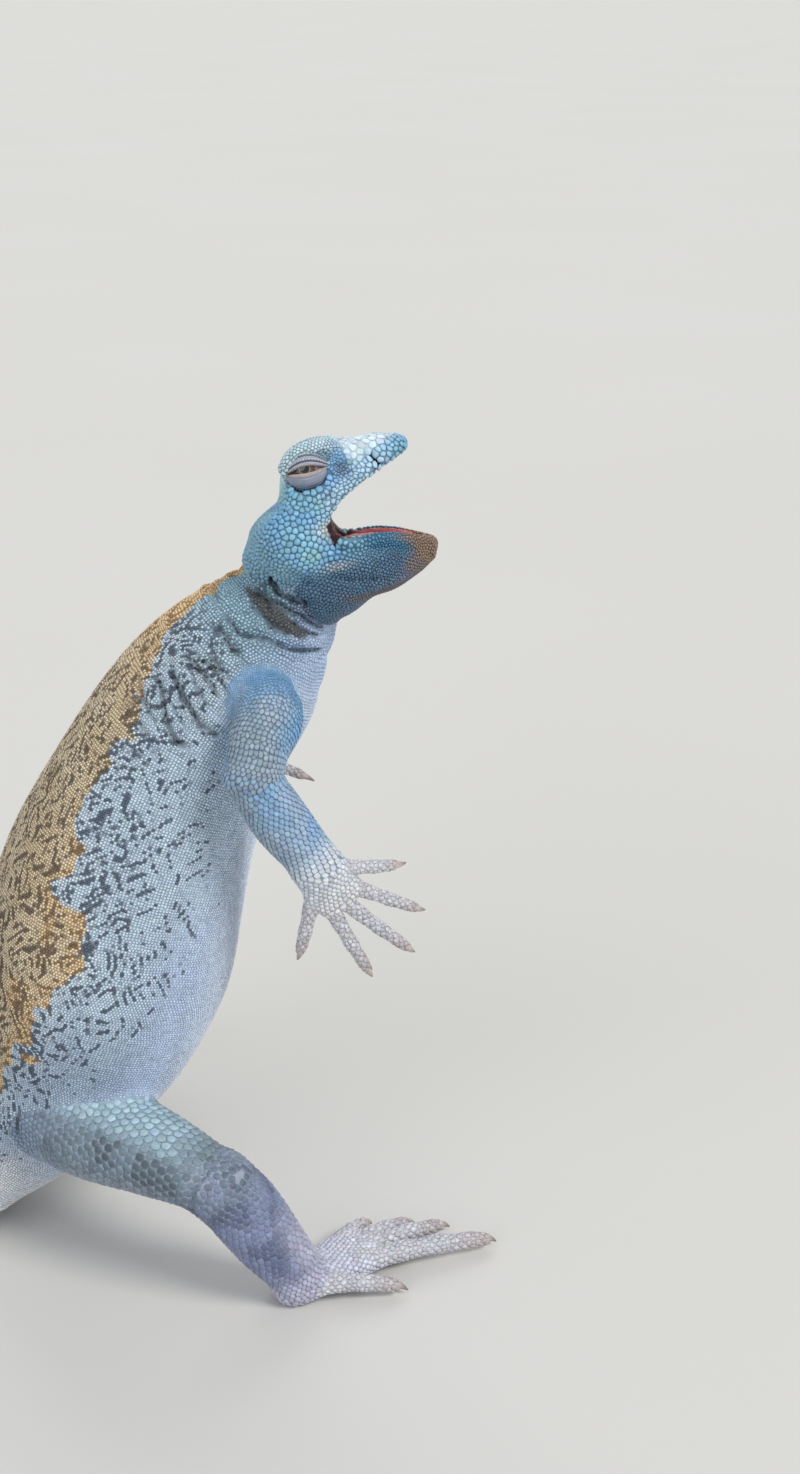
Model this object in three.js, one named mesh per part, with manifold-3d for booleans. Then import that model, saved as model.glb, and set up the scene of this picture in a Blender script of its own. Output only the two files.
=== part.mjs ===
// Uromastyx (spiny-tailed lizard), life size, as a still display model: it rears on its hind feet with its
// mouth open, and its spiny tail lies on the ground behind it.
// Millimetres, +Z up. The head faces +X and the animal's right side is -Y. The origin is on the ground, in the
// middle plane, on the flat under the tail's root.
import * as THREE from "three";
import { mergeVertices } from "three/addons/utils/BufferGeometryUtils.js";
import Module from "manifold-3d";

const wasm = await Module();
wasm.setup();

// Driving sizes
const GAP = 0.3; // between neighbouring pieces
const RIGHT = -1; // sign of Y on the right side
const LEFT = 1;

// Spine from inside the head to the tip of the tail: x, y, z, half width, height above and below the line.
const SPINE = [
  [88.2, 0, 143, 9.6, 7, 9],
  [86.5, 0, 132.4, 11.5, 11, 11],
  [77.6, 0, 119.6, 17, 17, 17],
  [68, 0, 107.6, 20.5, 19.3, 19.6],
  [59.5, 0, 92.2, 24.5, 21.5, 21.6],
  [53, 0, 76.4, 28, 24.3, 24.3],
  [48, 0, 60, 29.5, 25.5, 25.5],
  [42.5, 0, 44, 26.5, 23.5, 22.5],
  [34.5, 0, 29.5, 20.5, 17.5, 17.5],
  [23, 0, 16.6, 15, 12, 12.5],
  [10, 0, 9.8, 13, 9.6, 10.1],
  [-7, -0.4, 7.9, 11.2, 8, 8.3],
  [-32, -3.4, 6.4, 9.2, 6.5, 6.8],
  [-57, -5.4, 5, 7.3, 5.2, 5.4],
  [-82, -4, 3.8, 5.3, 4, 4.2],
  [-104, 1.6, 2.6, 3.3, 2.7, 3],
  [-116, 6.4, 1.7, 1.6, 1.5, 2.1],
];
const LAST = SPINE.length - 1;
// Where the spine is parted, counted in stations of SPINE.
const CHEST_AT = 1.75;
const BELLY_AT = 4.2;
const PELVIS_AT = 6.9;
const TAIL_AT = 9.7;
// Whorls of spines on the tail: the first on each tail piece, their number, and the most and fewest spines in one.
const WHORLS = { count: 21, firsts: [0, 5, 10, 15], most: 12, fewest: 6, length: 5.6, lean: 24, width: 0.62 };

// Head frame: origin at the level of the mouth's corner, u along the mouth line, w to the left, v up.
const HEAD_AT = new THREE.Vector3(93, 0, 149.2);
const HEAD_PITCH = THREE.MathUtils.degToRad(32.5);
const HEAD_ROLL = THREE.MathUtils.degToRad(14); // the right side is the higher
// Skull: u, height of the line, half width, height above and below it.
const SKULL = [
  [-15, -3, 9, 4.4, 5.5],
  [-11.5, -2.4, 12.2, 6.6, 8.2],
  [-7.5, -1, 13.6, 7, 8.6],
  [-3.5, 1, 13, 6.6, 7],
  [0.5, 2.6, 11.8, 8, 4.6],
  [4.5, 3.4, 10.6, 7.8, 3.7],
  [8.5, 3.3, 9.3, 6.6, 3.3],
  [12.5, 3.1, 7.9, 4.6, 3],
  [16.2, 2.8, 6.4, 3.4, 2.6],
  [18.8, 2.4, 4.7, 2, 2],
];
// Ridge from the brow to the snout: u, w, v, radius.
const BROW = [[-1.4, 8.6, 9.3, 1.9], [1.2, 8.8, 10.2, 2.1], [4.5, 8.3, 10, 2.1], [8, 7, 8.9, 1.8], [13, 4.9, 5.8, 1.2]];
// Edges of the lips on one side: u, w, v.
const UPPER_LIP = [[0.3, 11.4, -1.2], [4, 10.8, 0.3], [8.5, 9.3, 0.9], [12.5, 7.7, 1.1], [16.5, 5.7, 1.3], [19, 3.2, 1.5], [19.9, 0, 1.6]];
const LOWER_LIP = [[1.2, 11.2, -7.4], [3.4, 10.5, -8.8], [6.4, 9.3, -10.2], [9.2, 7.7, -12], [11.8, 5.8, -14.6], [13.6, 3.2, -16.5], [14.2, 0, -17.2]];
// Lower jaw with the throat, open: u, height of the line, half width, height above and below it.
const JAW = [
  [-9, -10, 11.2, 6.5, 9],
  [-4, -11.6, 12.4, 7, 8.6],
  [1, -13, 12, 6.4, 6.8],
  [5, -14.4, 10.6, 5.3, 6.5],
  [8.5, -15.7, 8.9, 4.2, 5.5],
  [11.5, -17, 6.9, 2.9, 4],
  [13.5, -17.9, 4.8, 1.8, 2.5],
];
const TONGUE = [[-3, -8.2, 4.4, 1.8, 1.8], [1, -9.4, 4.7, 1.9, 1.8], [5, -11.2, 4.2, 1.7, 1.7], [8.6, -13.2, 2.8, 1.3, 1.3]];
const EYE = { u: 2.6, w: 7.3, v: 7.5, radius: 3.5, lid: 0.8, slit: [3, 2.6, 0.75], tilt: 22 };
const NOSTRIL = { u: 13.9, w: 6.7, v: 2.6, size: [0.5, 1.1, 0.9] };
const EAR = { u: -12.8, w: 12, v: -5.6, size: [0.9, 2.2, 2.7] };
const PALATE = { at: [8.8, 0, -0.6], size: [10.6, 6.2, 2.6], tilt: 0 };
const MOUTH_FLOOR = { at: [5.2, 0, -9.6], size: [10.8, 6.4, 3], tilt: 36 };

// Folds of loose skin round the neck and shoulder: station, depth as a share of the radius, and width.
const FOLDS = [[0.62, 0.1, 0.07], [0.98, 0.11, 0.08], [1.36, 0.09, 0.07], [1.72, 0.04, 0.06]];

// Limbs: rows are x, distance from the middle plane, z, half width and half thickness.
const LIMBS = {
  right: {
    side: RIGHT,
    arm: [[76.5, 11, 117.5, 6.3, 6.3], [80.4, 20, 116.6, 6.5, 6.3], [77.8, 26, 112, 5.9, 5.8], [76, 28, 106.8, 5.4, 5.3]],
    forearm: [[75.7, 28, 107.6, 4.9, 4.8], [80.6, 28.5, 98.8, 5.5, 4.9], [85.2, 29.1, 92.2, 5, 4.2], [88.4, 29.6, 88, 4.4, 3.2]],
    thigh: [[32, 8, 31, 9.6, 9], [42, 20, 30.8, 10.6, 9.2], [54, 31, 30.4, 8.8, 7.8], [62, 37.5, 29, 7.4, 6.2], [66.6, 41, 27, 6.4, 5.8]],
    shin: [[66.2, 40.4, 28.6, 6.4, 6], [70.6, 41.2, 22.4, 7.1, 6.6], [75.4, 41.8, 14.8, 6.6, 6], [79.4, 41.6, 8.4, 5.7, 5.2], [80.8, 41.2, 5.2, 5, 4.6]],
  },
  left: {
    side: LEFT,
    arm: [[76.5, 12, 117.3, 6.3, 6.3], [79.3, 20, 116.4, 6.5, 6.3], [74.6, 26, 111.6, 5.9, 5.8], [70.6, 28, 106, 5.4, 5.3]],
    forearm: [[70.2, 28, 106.7, 4.9, 4.8], [72.2, 28.8, 98.4, 5.5, 4.9], [75, 30, 91.6, 5, 4.2], [77.2, 31, 87.2, 4.4, 3.2]],
    thigh: [[32, 8, 31, 9.6, 9], [36, 21, 30.8, 10.4, 9.2], [40, 34, 30.4, 8.8, 7.8], [42.4, 43.6, 29, 7.4, 6.2], [43, 48, 27.4, 6.4, 5.8]],
    shin: [[43.2, 47.4, 28.8, 6.4, 6], [37.8, 47.4, 22.8, 7.1, 6.6], [31.2, 46, 15, 6.6, 6], [25.6, 44.4, 8.6, 5.7, 5.2], [23.8, 43.8, 5.2, 5, 4.6]],
  },
};

// Hands and feet. Palm: along, across, half width, half thickness.
// Each digit: root along and across the palm, angle in the palm's plane (towards the first digit), length, radius.
const HAND = {
  palm: [[-2.2, 0, 4.2, 3], [2.6, -0.2, 5, 2.8], [6.8, -0.4, 4.9, 2.2]],
  digits: [[1.6, 3.8, 46, 10.6, 1.45], [5.2, 2.6, 25, 15, 1.45], [6.6, -0.4, 9.8, 18, 1.5], [5, -2.8, -10, 18, 1.5], [2.4, -4, -48, 12.2, 1.5]],
  rise: [0, 0.1, -0.5, -1.5],
};
const FOOT = {
  palm: [[0.6, 0, 4.6, 4], [6, 0.4, 5.3, 3.5], [14, 1.4, 6.2, 2.7], [19, 1.8, 5.6, 2]],
  digits: [[12.5, 5.5, 28, 11.5, 1.75], [16.5, 4.4, 11, 14, 1.75], [18.5, 2.2, 3, 17.5, 1.8], [17.5, -1.4, -9, 24.8, 2.05], [4.5, -4, -22, 15.5, 1.9]],
  rise: [0, 0.5, 0.1, -0.9],
};
const CLAW = { length: 3.2, root: 0.95, droop: { finger: 1.4, toe: 2.2 } };
const PLACES = {
  hand_right: { plan: HAND, at: [88.4, -29.7, 87], axis: [0.6, 0, -0.8], back: [0, -1, 0.1], side: RIGHT, splay: 1, curl: 0 },
  hand_left: { plan: HAND, at: [78.1, 31.2, 85.6], axis: [0.26, 0.14, -0.96], back: [0, 1, 0.1], side: LEFT, splay: 1.3, curl: 0.12 },
  foot_right: { plan: FOOT, at: [79, -40.5, 3.3], axis: [0.951, 0.309, 0], back: [0, 0, 1], side: RIGHT, splay: 1, curl: 0 },
  foot_left: { plan: FOOT, at: [23, 43.6, 3.3], axis: [0.93, 0.36, 0], back: [0, 0, 1], side: LEFT, splay: 1, curl: 0 },
};

// Small helpers
const vec = (x, y, z) => new THREE.Vector3(x, y, z);
const along = (points) => new THREE.CatmullRomCurve3(points, false, "catmullrom", 0.5);
const power = (c, p) => Math.sign(c) * Math.abs(c) ** (2 / p);
const steps = (from, to, count) => Array.from({ length: count + 1 }, (_, i) => from + ((to - from) * i) / count);
const UP = vec(0, 0, 1);

// A closed geometry as a solid, whichever way its faces point.
function solid(geometry) {
  const g = geometry.clone();
  for (const name of Object.keys(g.attributes)) if (name !== "position") g.deleteAttribute(name);
  const merged = mergeVertices(g, 1e-4);
  const make = (flip) => {
    const triVerts = new Uint32Array(merged.index.array);
    for (let i = 0; flip && i < triVerts.length; i += 3) {
      [triVerts[i + 1], triVerts[i + 2]] = [triVerts[i + 2], triVerts[i + 1]];
    }
    const vertProperties = new Float32Array(merged.attributes.position.array);
    return new wasm.Manifold(new wasm.Mesh({ numProp: 3, vertProperties, triVerts }));
  };
  const made = make(false);
  return made.volume() > 0 ? made : make(true);
}

// A tube of oval rings along a curve, with round ends. rows are x, y, z, half width, up, down, and at lists the
// places of the rings, counted in rows. swell(t, angle) scales a ring's radius.
function loft(rows, { sides, at, up, shape = 2.2, round = 0.8, grow = 0, swell }) {
  const path = along(rows.map((r) => vec(r[0], r[1], r[2])));
  const sizes = along(rows.map((r) => vec(r[3], r[4], r[5])));
  const last = rows.length - 1;
  const points = [];
  const ring = (where, forward, shrink) => {
    const t = THREE.MathUtils.clamp(where / last, 0, 1);
    const tangent = path.getTangent(t);
    const centre = path.getPoint(t).addScaledVector(tangent, forward);
    const size = sizes.getPoint(t);
    const side = vec().crossVectors(tangent, up).normalize();
    const top = vec().crossVectors(side, tangent).normalize();
    for (let j = 0; j < sides; j++) {
      const angle = (2 * Math.PI * j) / sides;
      const k = shrink * (swell ? swell(where, angle) : 1);
      const a = power(Math.cos(angle), shape) * (size.x * k + grow * shrink);
      const b = power(Math.sin(angle), shape) * ((Math.sin(angle) > 0 ? size.y : size.z) * k + grow * shrink);
      points.push(centre.clone().addScaledVector(side, a).addScaledVector(top, b));
    }
  };
  const [first, end] = [at[0], at[at.length - 1]];
  const reach = (where) => {
    const size = sizes.getPoint(where / last);
    return Math.min(size.x, size.y, size.z) * round + grow;
  };
  const dome = THREE.MathUtils.degToRad(48);
  ring(first, -reach(first) * Math.sin(dome), Math.cos(dome));
  for (const where of at) ring(where, 0, 1);
  ring(end, reach(end) * Math.sin(dome), Math.cos(dome));
  const tip = (where, sign) => path.getPoint(where / last).addScaledVector(path.getTangent(where / last), sign * reach(where));
  const count = points.length / sides;
  points.push(tip(first, -1), tip(end, 1));
  const faces = [];
  for (let i = 0; i < count - 1; i++) {
    for (let j = 0; j < sides; j++) {
      const [a, b] = [i * sides + j, i * sides + ((j + 1) % sides)];
      faces.push(a, b, b + sides, a, b + sides, a + sides);
    }
  }
  const lastRing = (count - 1) * sides;
  for (let j = 0; j < sides; j++) {
    const next = (j + 1) % sides;
    faces.push(points.length - 2, next, j, points.length - 1, lastRing + j, lastRing + next);
  }
  return solid(new THREE.BufferGeometry().setFromPoints(points).setIndex(faces));
}

// A round tube through points given as x, y, z, radius.
function tube(rows, { sides, rings, up = UP, round = 1, grow = 0 }) {
  const full = rows.map(([x, y, z, r]) => [x, y, z, r, r, r]);
  return loft(full, { sides, at: steps(0, rows.length - 1, rings), up, shape: 2, round, grow });
}

// An ellipsoid of the given half axes, turned by an Euler angle in degrees.
function ball([a, b, c], [x, y, z], turn = [0, 0, 0], detail = 14) {
  const g = new THREE.SphereGeometry(1, detail, Math.round(detail * 0.6));
  const q = new THREE.Quaternion().setFromEuler(new THREE.Euler(...turn.map(THREE.MathUtils.degToRad), "ZYX"));
  g.applyMatrix4(new THREE.Matrix4().compose(vec(x, y, z), q, vec(a, b, c)));
  return solid(g);
}

const union = (list) => list.reduce((a, b) => a.add(b));
const cut = (m, ...tools) => tools.reduce((rest, tool) => rest.subtract(tool), m);
const onGround = (m) => m.trimByPlane([0, 0, 1], 0);
const mirrored = (edge) => [...edge, ...edge.slice(0, -1).reverse().map(([u, w, v]) => [u, -w, v])];

// Head frame as a matrix
const headFrame = new THREE.Matrix4()
  .makeTranslation(HEAD_AT.x, HEAD_AT.y, HEAD_AT.z)
  .multiply(new THREE.Matrix4().makeRotationY(-HEAD_PITCH))
  .multiply(new THREE.Matrix4().makeRotationX(-HEAD_ROLL));
const inHead = (m) => m.transform(headFrame.elements);

// Trunk and neck
const BACK = vec(-1, 0, 0.6).normalize();
const folded = (t) => 1 - FOLDS.reduce((sum, [where, depth, wide]) => sum + depth * Math.exp(-(((t - where) / wide) ** 2)), 0);
const trunkStops = [...steps(0, 2, 20), ...steps(2.4, 10.2, 19)];
const trunk = (grow) => loft(SPINE, { sides: 24, at: trunkStops, up: BACK, grow, swell: folded });
const spinePath = along(SPINE.map((r) => vec(r[0], r[1], r[2])));
// Keeps the length of a spine piece between two stations, half a gap short at each end.
function between(m, from, to) {
  let rest = m;
  for (const [station, sign] of [[from, 1], [to, -1]]) {
    if (station <= 0 || station >= LAST) continue;
    const n = spinePath.getTangent(station / LAST).multiplyScalar(sign);
    rest = rest.trimByPlane(n.toArray(), n.dot(spinePath.getPoint(station / LAST)) + GAP / 2);
  }
  return rest;
}

// Tail: a core, with whorls of spines that lie back towards its tip, widest at the sides and flattest below
const whorlAt = (k) => TAIL_AT + 0.12 + (LAST - TAIL_AT - 0.3) * (k / WHORLS.count) ** 0.94;
const tailCut = (k) => (k === 0 ? TAIL_AT : k >= WHORLS.count ? LAST : whorlAt(k) - 0.045);
const slimmed = (t, angle) => 1 - 0.13 * THREE.MathUtils.smoothstep(t, 9.6, 10.6) * (0.5 + 0.5 * Math.sin(angle));
const tailCore = loft(SPINE, { sides: 12, at: steps(9.3, LAST, 13), up: UP, shape: 2.3, swell: slimmed });
const spineSizes = along(SPINE.map((r) => vec(r[3], r[4], r[5])));

// One spine is a three-sided point, keeled above, with its root sunk into the core.
function spike(root, back, out, width, length, height) {
  const side = vec().crossVectors(back, out).normalize();
  const foot = root.clone().addScaledVector(out, -0.9).addScaledVector(back, -0.5);
  const points = [
    foot.clone().addScaledVector(side, -width),
    foot.clone().addScaledVector(side, width),
    foot.clone().addScaledVector(out, 0.9 + height).addScaledVector(back, 1),
    root.clone().addScaledVector(back, length).addScaledVector(out, height),
  ];
  return solid(new THREE.BufferGeometry().setFromPoints(points).setIndex([0, 1, 2, 0, 3, 1, 1, 3, 2, 2, 3, 0]));
}
function whorl(k) {
  const t = whorlAt(k);
  const centre = spinePath.getPoint(t / LAST);
  const tangent = spinePath.getTangent(t / LAST);
  const size = spineSizes.getPoint(t / LAST);
  const side = vec().crossVectors(tangent, UP).normalize();
  const top = vec().crossVectors(side, tangent).normalize();
  const count = Math.round(THREE.MathUtils.lerp(WHORLS.most, WHORLS.fewest, k / (WHORLS.count - 1)));
  const room = (whorlAt(k + 1) - t) * spinePath.getLength() / LAST;
  const spikes = [];
  for (let j = 0; j < count; j++) {
    const angle = (2 * Math.PI * (j + 0.5 + (k % 2) * 0.5)) / count;
    if (Math.sin(angle) < -0.8) continue; // bare where the tail rests
    const k1 = slimmed(t, angle);
    const a = power(Math.cos(angle), 2.3) * size.x * k1;
    const b = power(Math.sin(angle), 2.3) * (Math.sin(angle) > 0 ? size.y : size.z) * k1;
    const root = centre.clone().addScaledVector(side, a).addScaledVector(top, b);
    const out = vec().addScaledVector(side, a / size.x ** 2).addScaledVector(top, b / size.y ** 2).normalize();
    const flat = Math.sin(angle) > -0.25 ? 0.8 + 0.35 * Math.abs(Math.cos(angle)) : 0.3;
    const vary = 0.88 + 0.24 * THREE.MathUtils.seededRandom(31 * k + j + 1);
    const width = WHORLS.width * Math.PI * (Math.abs(size.x) + size.y) / (2 * count) * 1.15;
    const length = Math.min(WHORLS.length, room * 0.86) * vary;
    const height = length * Math.tan(THREE.MathUtils.degToRad(WHORLS.lean)) * flat * vary;
    spikes.push(spike(root, tangent, out, width, length, height));
  }
  return spikes;
}

// Skull with the upper jaw, bulged for the brows, eyelids and jaw muscles
function skull(grow) {
  const rows = SKULL.map(([u, v, w, top, low]) => [u, 0, v, w, top, low]);
  const parts = [loft(rows, { sides: 18, at: steps(0, rows.length - 1, 14), up: UP, shape: 2.35, round: 0.55, grow })];
  const lid = EYE.radius + EYE.lid + grow;
  for (const s of [RIGHT, LEFT]) {
    parts.push(tube(BROW.map(([u, w, v, r]) => [u, s * w, v, r]), { sides: 6, rings: 5, grow }));
    parts.push(ball([lid, lid, lid], [EYE.u, s * EYE.w, EYE.v], [0, 0, 0], 12));
    parts.push(ball([6.4 + grow, 3.6 + grow, 6 + grow], [-6.6, s * 10, -3], [0, 25, 0], 12));
  }
  return inHead(union(parts));
}
const cavity = ({ at, size, tilt }, shrink = 0) => inHead(ball(size.map((s) => s - shrink), at, [0, tilt, 0], 12));
const lips = (edge) => inHead(tube(mirrored(edge).map((p, i, all) => [...p, i % (all.length - 1) ? 1.15 : 0.6]), { sides: 5, rings: 14 }));

function head() {
  const holes = [cavity(PALATE)];
  for (const s of [RIGHT, LEFT]) {
    const socket = EYE.radius + GAP;
    holes.push(inHead(ball([socket, socket, socket], [EYE.u, s * EYE.w, EYE.v], [0, 0, 0], 12)));
    holes.push(inHead(ball(EYE.slit, [EYE.u, s * (EYE.w + 4), EYE.v], [0, EYE.tilt, 0], 10)));
    holes.push(inHead(ball(NOSTRIL.size, [NOSTRIL.u, s * NOSTRIL.w, NOSTRIL.v], [0, 0, s * 25], 7)));
    holes.push(inHead(ball(EAR.size, [EAR.u, s * EAR.w, EAR.v], [0, -20, 0], 7)));
  }
  return cut(skull(0).add(lips(UPPER_LIP)), ...holes);
}

// Lower jaw, and the tongue that lies in it
const jawRows = JAW.map(([u, v, w, top, low]) => [u, 0, v, w, top, low]);
const jawTube = (grow) => inHead(loft(jawRows, { sides: 18, at: steps(0, jawRows.length - 1, 9), up: UP, shape: 2.5, round: 0.6, grow }));
const jaw = () => cut(jawTube(0).add(lips(LOWER_LIP)), cavity(MOUTH_FLOOR));
const tongue = () => inHead(loft(TONGUE.map(([u, v, ...r]) => [u, 0, v, ...r]), { sides: 10, at: steps(0, 3, 6), up: UP }));

// One length of a limb
function limb(rows, side, up, grow = 0) {
  const full = rows.map(([x, y, z, wide, thick]) => [x, side * y, z, wide, thick, thick]);
  return loft(full, { sides: 12, at: steps(0, rows.length - 1, 8), up, grow });
}

// A hand or foot has its own axes: along (to the fingers), across (to the first digit) and back (off the palm).
function paw({ plan, at, axis, back, side, splay, curl }) {
  const a = vec(...axis).normalize();
  const b = vec(...back).addScaledVector(a, -vec(...back).dot(a)).normalize();
  const across = vec().crossVectors(b, a).multiplyScalar(-side);
  const put = (x, y, z) => vec(...at).addScaledVector(a, x).addScaledVector(across, y).addScaledVector(b, z);
  const digits = plan.digits.map(([x, y, angle, length, radius]) => {
    const turn = THREE.MathUtils.degToRad(angle * splay);
    return [-0.18, 0.3, 0.66, 1].map((s, i) => {
      const bend = plan.rise[i] - curl * length * Math.max(0, s) ** 2;
      const p = put(x + s * length * Math.cos(turn), y + s * length * Math.sin(turn), bend);
      return [p.x, p.y, p.z, radius * [1.2, 1, 0.94, 0.74][i]];
    });
  });
  return { plan, b, put, digits };
}
function pawBody({ plan, b, put, digits }, grow = 0) {
  const palm = plan.palm.map(([x, y, wide, thick]) => [...put(x, y, 0).toArray(), wide, thick, thick]);
  const parts = [loft(palm, { sides: 10, at: steps(0, palm.length - 1, 4), up: b, grow })];
  for (const rows of digits) parts.push(tube(rows, { sides: 6, rings: 4, up: b, grow }));
  return union(parts);
}
// The curved claw of one digit, from inside its tip
function clawBody({ b }, rows, droop) {
  const tip = vec(...rows[3]);
  const way = tip.clone().sub(vec(...rows[2])).normalize();
  const line = [-0.3, 0.4, 0.8, 1].map((s, i) => {
    const p = tip.clone().addScaledVector(way, s * CLAW.length + 0.4).addScaledVector(b, -droop * Math.max(0, s) ** 2);
    return [...p.toArray(), CLAW.root * [1, 0.75, 0.4, 0.12][i]];
  });
  return tube(line, { sides: 5, rings: 2, up: b });
}

// Materials
const material = (color, roughness = 0.75) => new THREE.MeshStandardMaterial({ color, roughness, metalness: 0 });
const LOOK = {
  head: material(0x86a9bd),
  neck: material(0x8ba3b5),
  body: material(0xa8adb0),
  tail: material(0x9a8f7c),
  limb: material(0xa3b6c4),
  paw: material(0xd0cbd0),
  tongue: material(0xb5686a, 0.5),
  claw: material(0x4d4247, 0.45),
  eye: material(0x3a2f22, 0.2),
};

// Assembly: each piece is one closed body, cut clear of what it grows from
const uromastyx = new THREE.Group();
function add(name, m, look) {
  const one = m.decompose().sort((a, b) => b.volume() - a.volume())[0];
  const mesh = one.getMesh();
  const positions = new Float32Array(mesh.numVert * 3);
  for (let i = 0; i < mesh.numVert; i++) {
    positions.set(mesh.vertProperties.subarray(i * mesh.numProp, i * mesh.numProp + 3), i * 3);
  }
  const g = new THREE.BufferGeometry();
  g.setAttribute("position", new THREE.BufferAttribute(positions, 3));
  g.setIndex(new THREE.BufferAttribute(new Uint32Array(mesh.triVerts), 1));
  g.computeVertexNormals();
  const made = new THREE.Mesh(g, look);
  made.name = name;
  uromastyx.add(made);
}

const skullGrown = skull(GAP);
const jawGrown = jawTube(GAP);
const body = trunk(0);
const bodyGrown = trunk(GAP);
add("head", head(), LOOK.head);
add("jaw", cut(jaw(), skullGrown), LOOK.head);
add("tongue", cut(tongue(), jawGrown.subtract(cavity(MOUTH_FLOOR, GAP)), skullGrown), LOOK.tongue);
for (const [name, s] of [["eye_right", RIGHT], ["eye_left", LEFT]]) {
  add(name, inHead(ball([EYE.radius, EYE.radius, EYE.radius], [EYE.u, s * EYE.w, EYE.v], [0, 0, 0], 12)), LOOK.eye);
}
add("neck", cut(between(body, 0, CHEST_AT), skullGrown, jawGrown), LOOK.neck);
add("chest", between(body, CHEST_AT, BELLY_AT), LOOK.body);
add("belly", between(body, BELLY_AT, PELVIS_AT), LOOK.body);
add("pelvis", onGround(between(body, PELVIS_AT, TAIL_AT)), LOOK.body);
WHORLS.firsts.forEach((first, i) => {
  const next = WHORLS.firsts[i + 1] ?? WHORLS.count;
  const core = between(tailCore, tailCut(first), tailCut(next));
  const spikes = steps(first, next - 1, next - 1 - first).flatMap(whorl);
  add(`tail_${i + 1}`, onGround(wasm.Manifold.union([core, ...spikes])), LOOK.tail);
});
const ARM_UP = vec(0.6, 0, 0.4);
for (const [name, { side, arm, forearm, thigh, shin }] of Object.entries(LIMBS)) {
  const OUTWARD = vec(0, side, 0.2);
  const hand = paw(PLACES[`hand_${name}`]);
  const foot = paw(PLACES[`foot_${name}`]);
  add(`upper_arm_${name}`, cut(limb(arm, side, ARM_UP), bodyGrown), LOOK.limb);
  add(`forearm_${name}`, cut(limb(forearm, side, OUTWARD), limb(arm, side, ARM_UP, GAP), bodyGrown), LOOK.limb);
  add(`hand_${name}`, cut(pawBody(hand), limb(forearm, side, OUTWARD, GAP)), LOOK.paw);
  add(`thigh_${name}`, cut(limb(thigh, side, UP), bodyGrown), LOOK.limb);
  add(`shin_${name}`, cut(onGround(limb(shin, side, OUTWARD)), limb(thigh, side, UP, GAP), bodyGrown), LOOK.limb);
  add(`foot_${name}`, cut(onGround(pawBody(foot)), limb(shin, side, OUTWARD, GAP)), LOOK.paw);
  for (const [kind, one] of [["finger", hand], ["toe", foot]]) {
    const grown = pawBody(one, GAP);
    one.digits.forEach((rows, i) => {
      add(`claw_${kind}_${i + 1}_${name}`, onGround(cut(clawBody(one, rows, CLAW.droop[kind]), grown)), LOOK.claw);
    });
  }
}

export default uromastyx;
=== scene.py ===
# Uromastyx, life size, rearing with its mouth open: skin, scales, lids, eyes, claws and tail spines.
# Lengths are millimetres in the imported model's frame until a mesh is made, which is in metres.
import math
from itertools import product

import bmesh
import bpy
import numpy as np
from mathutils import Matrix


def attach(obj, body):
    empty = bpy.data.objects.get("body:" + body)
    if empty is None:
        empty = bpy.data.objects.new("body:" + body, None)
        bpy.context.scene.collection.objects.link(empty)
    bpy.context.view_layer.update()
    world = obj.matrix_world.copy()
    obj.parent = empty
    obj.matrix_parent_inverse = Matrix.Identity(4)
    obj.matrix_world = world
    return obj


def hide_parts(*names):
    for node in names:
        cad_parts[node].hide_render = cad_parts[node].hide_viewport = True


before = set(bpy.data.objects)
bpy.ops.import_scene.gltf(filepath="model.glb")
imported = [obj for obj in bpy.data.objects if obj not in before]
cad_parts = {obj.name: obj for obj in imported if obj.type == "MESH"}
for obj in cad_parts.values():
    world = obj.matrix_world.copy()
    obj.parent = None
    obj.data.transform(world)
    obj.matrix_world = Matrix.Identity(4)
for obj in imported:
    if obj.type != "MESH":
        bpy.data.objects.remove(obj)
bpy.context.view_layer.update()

import openvdb
from mathutils import Matrix, Vector, kdtree

MM = 0.001
RIGHT, LEFT = -1, 1
SIDES = {"right": RIGHT, "left": LEFT}
UP = np.array([0.0, 0.0, 1.0])
rng = np.random.default_rng(2477)

# Sizes of the solids. Spine rows: x, y, z, half width, height above and below the line.
SPINE = np.array([
    [88.2, 0, 143, 9.6, 7, 9], [86.5, 0, 132.4, 11.5, 11, 11], [77.6, 0, 119.6, 17, 17, 17],
    [68, 0, 107.6, 20.5, 19.3, 19.6], [59.5, 0, 92.2, 24.5, 21.5, 21.6], [53, 0, 76.4, 28, 24.3, 24.3],
    [48, 0, 60, 29.5, 25.5, 25.5], [42.5, 0, 44, 26.5, 23.5, 22.5], [34.5, 0, 29.5, 20.5, 17.5, 17.5],
    [23, 0, 16.6, 15, 12, 12.5], [10, 0, 9.8, 13, 9.6, 10.1], [-7, -0.4, 7.9, 11.2, 8, 8.3],
    [-32, -3.4, 6.4, 9.2, 6.5, 6.8], [-57, -5.4, 5, 7.3, 5.2, 5.4], [-82, -4, 3.8, 5.3, 4, 4.2],
    [-104, 1.6, 2.6, 3.3, 2.7, 3], [-116, 6.4, 1.7, 1.6, 1.5, 2.1],
])
LAST = len(SPINE) - 1
TRUNK_END, TAIL_START, TAIL_AT = 10.2, 9.3, 9.7
BACK = np.array([-1, 0, 0.6]) / math.hypot(1, 0.6)
WHORLS = {"count": 21, "most": 12, "fewest": 6, "length": 5.6, "lean": 24, "width": 0.62}
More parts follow.
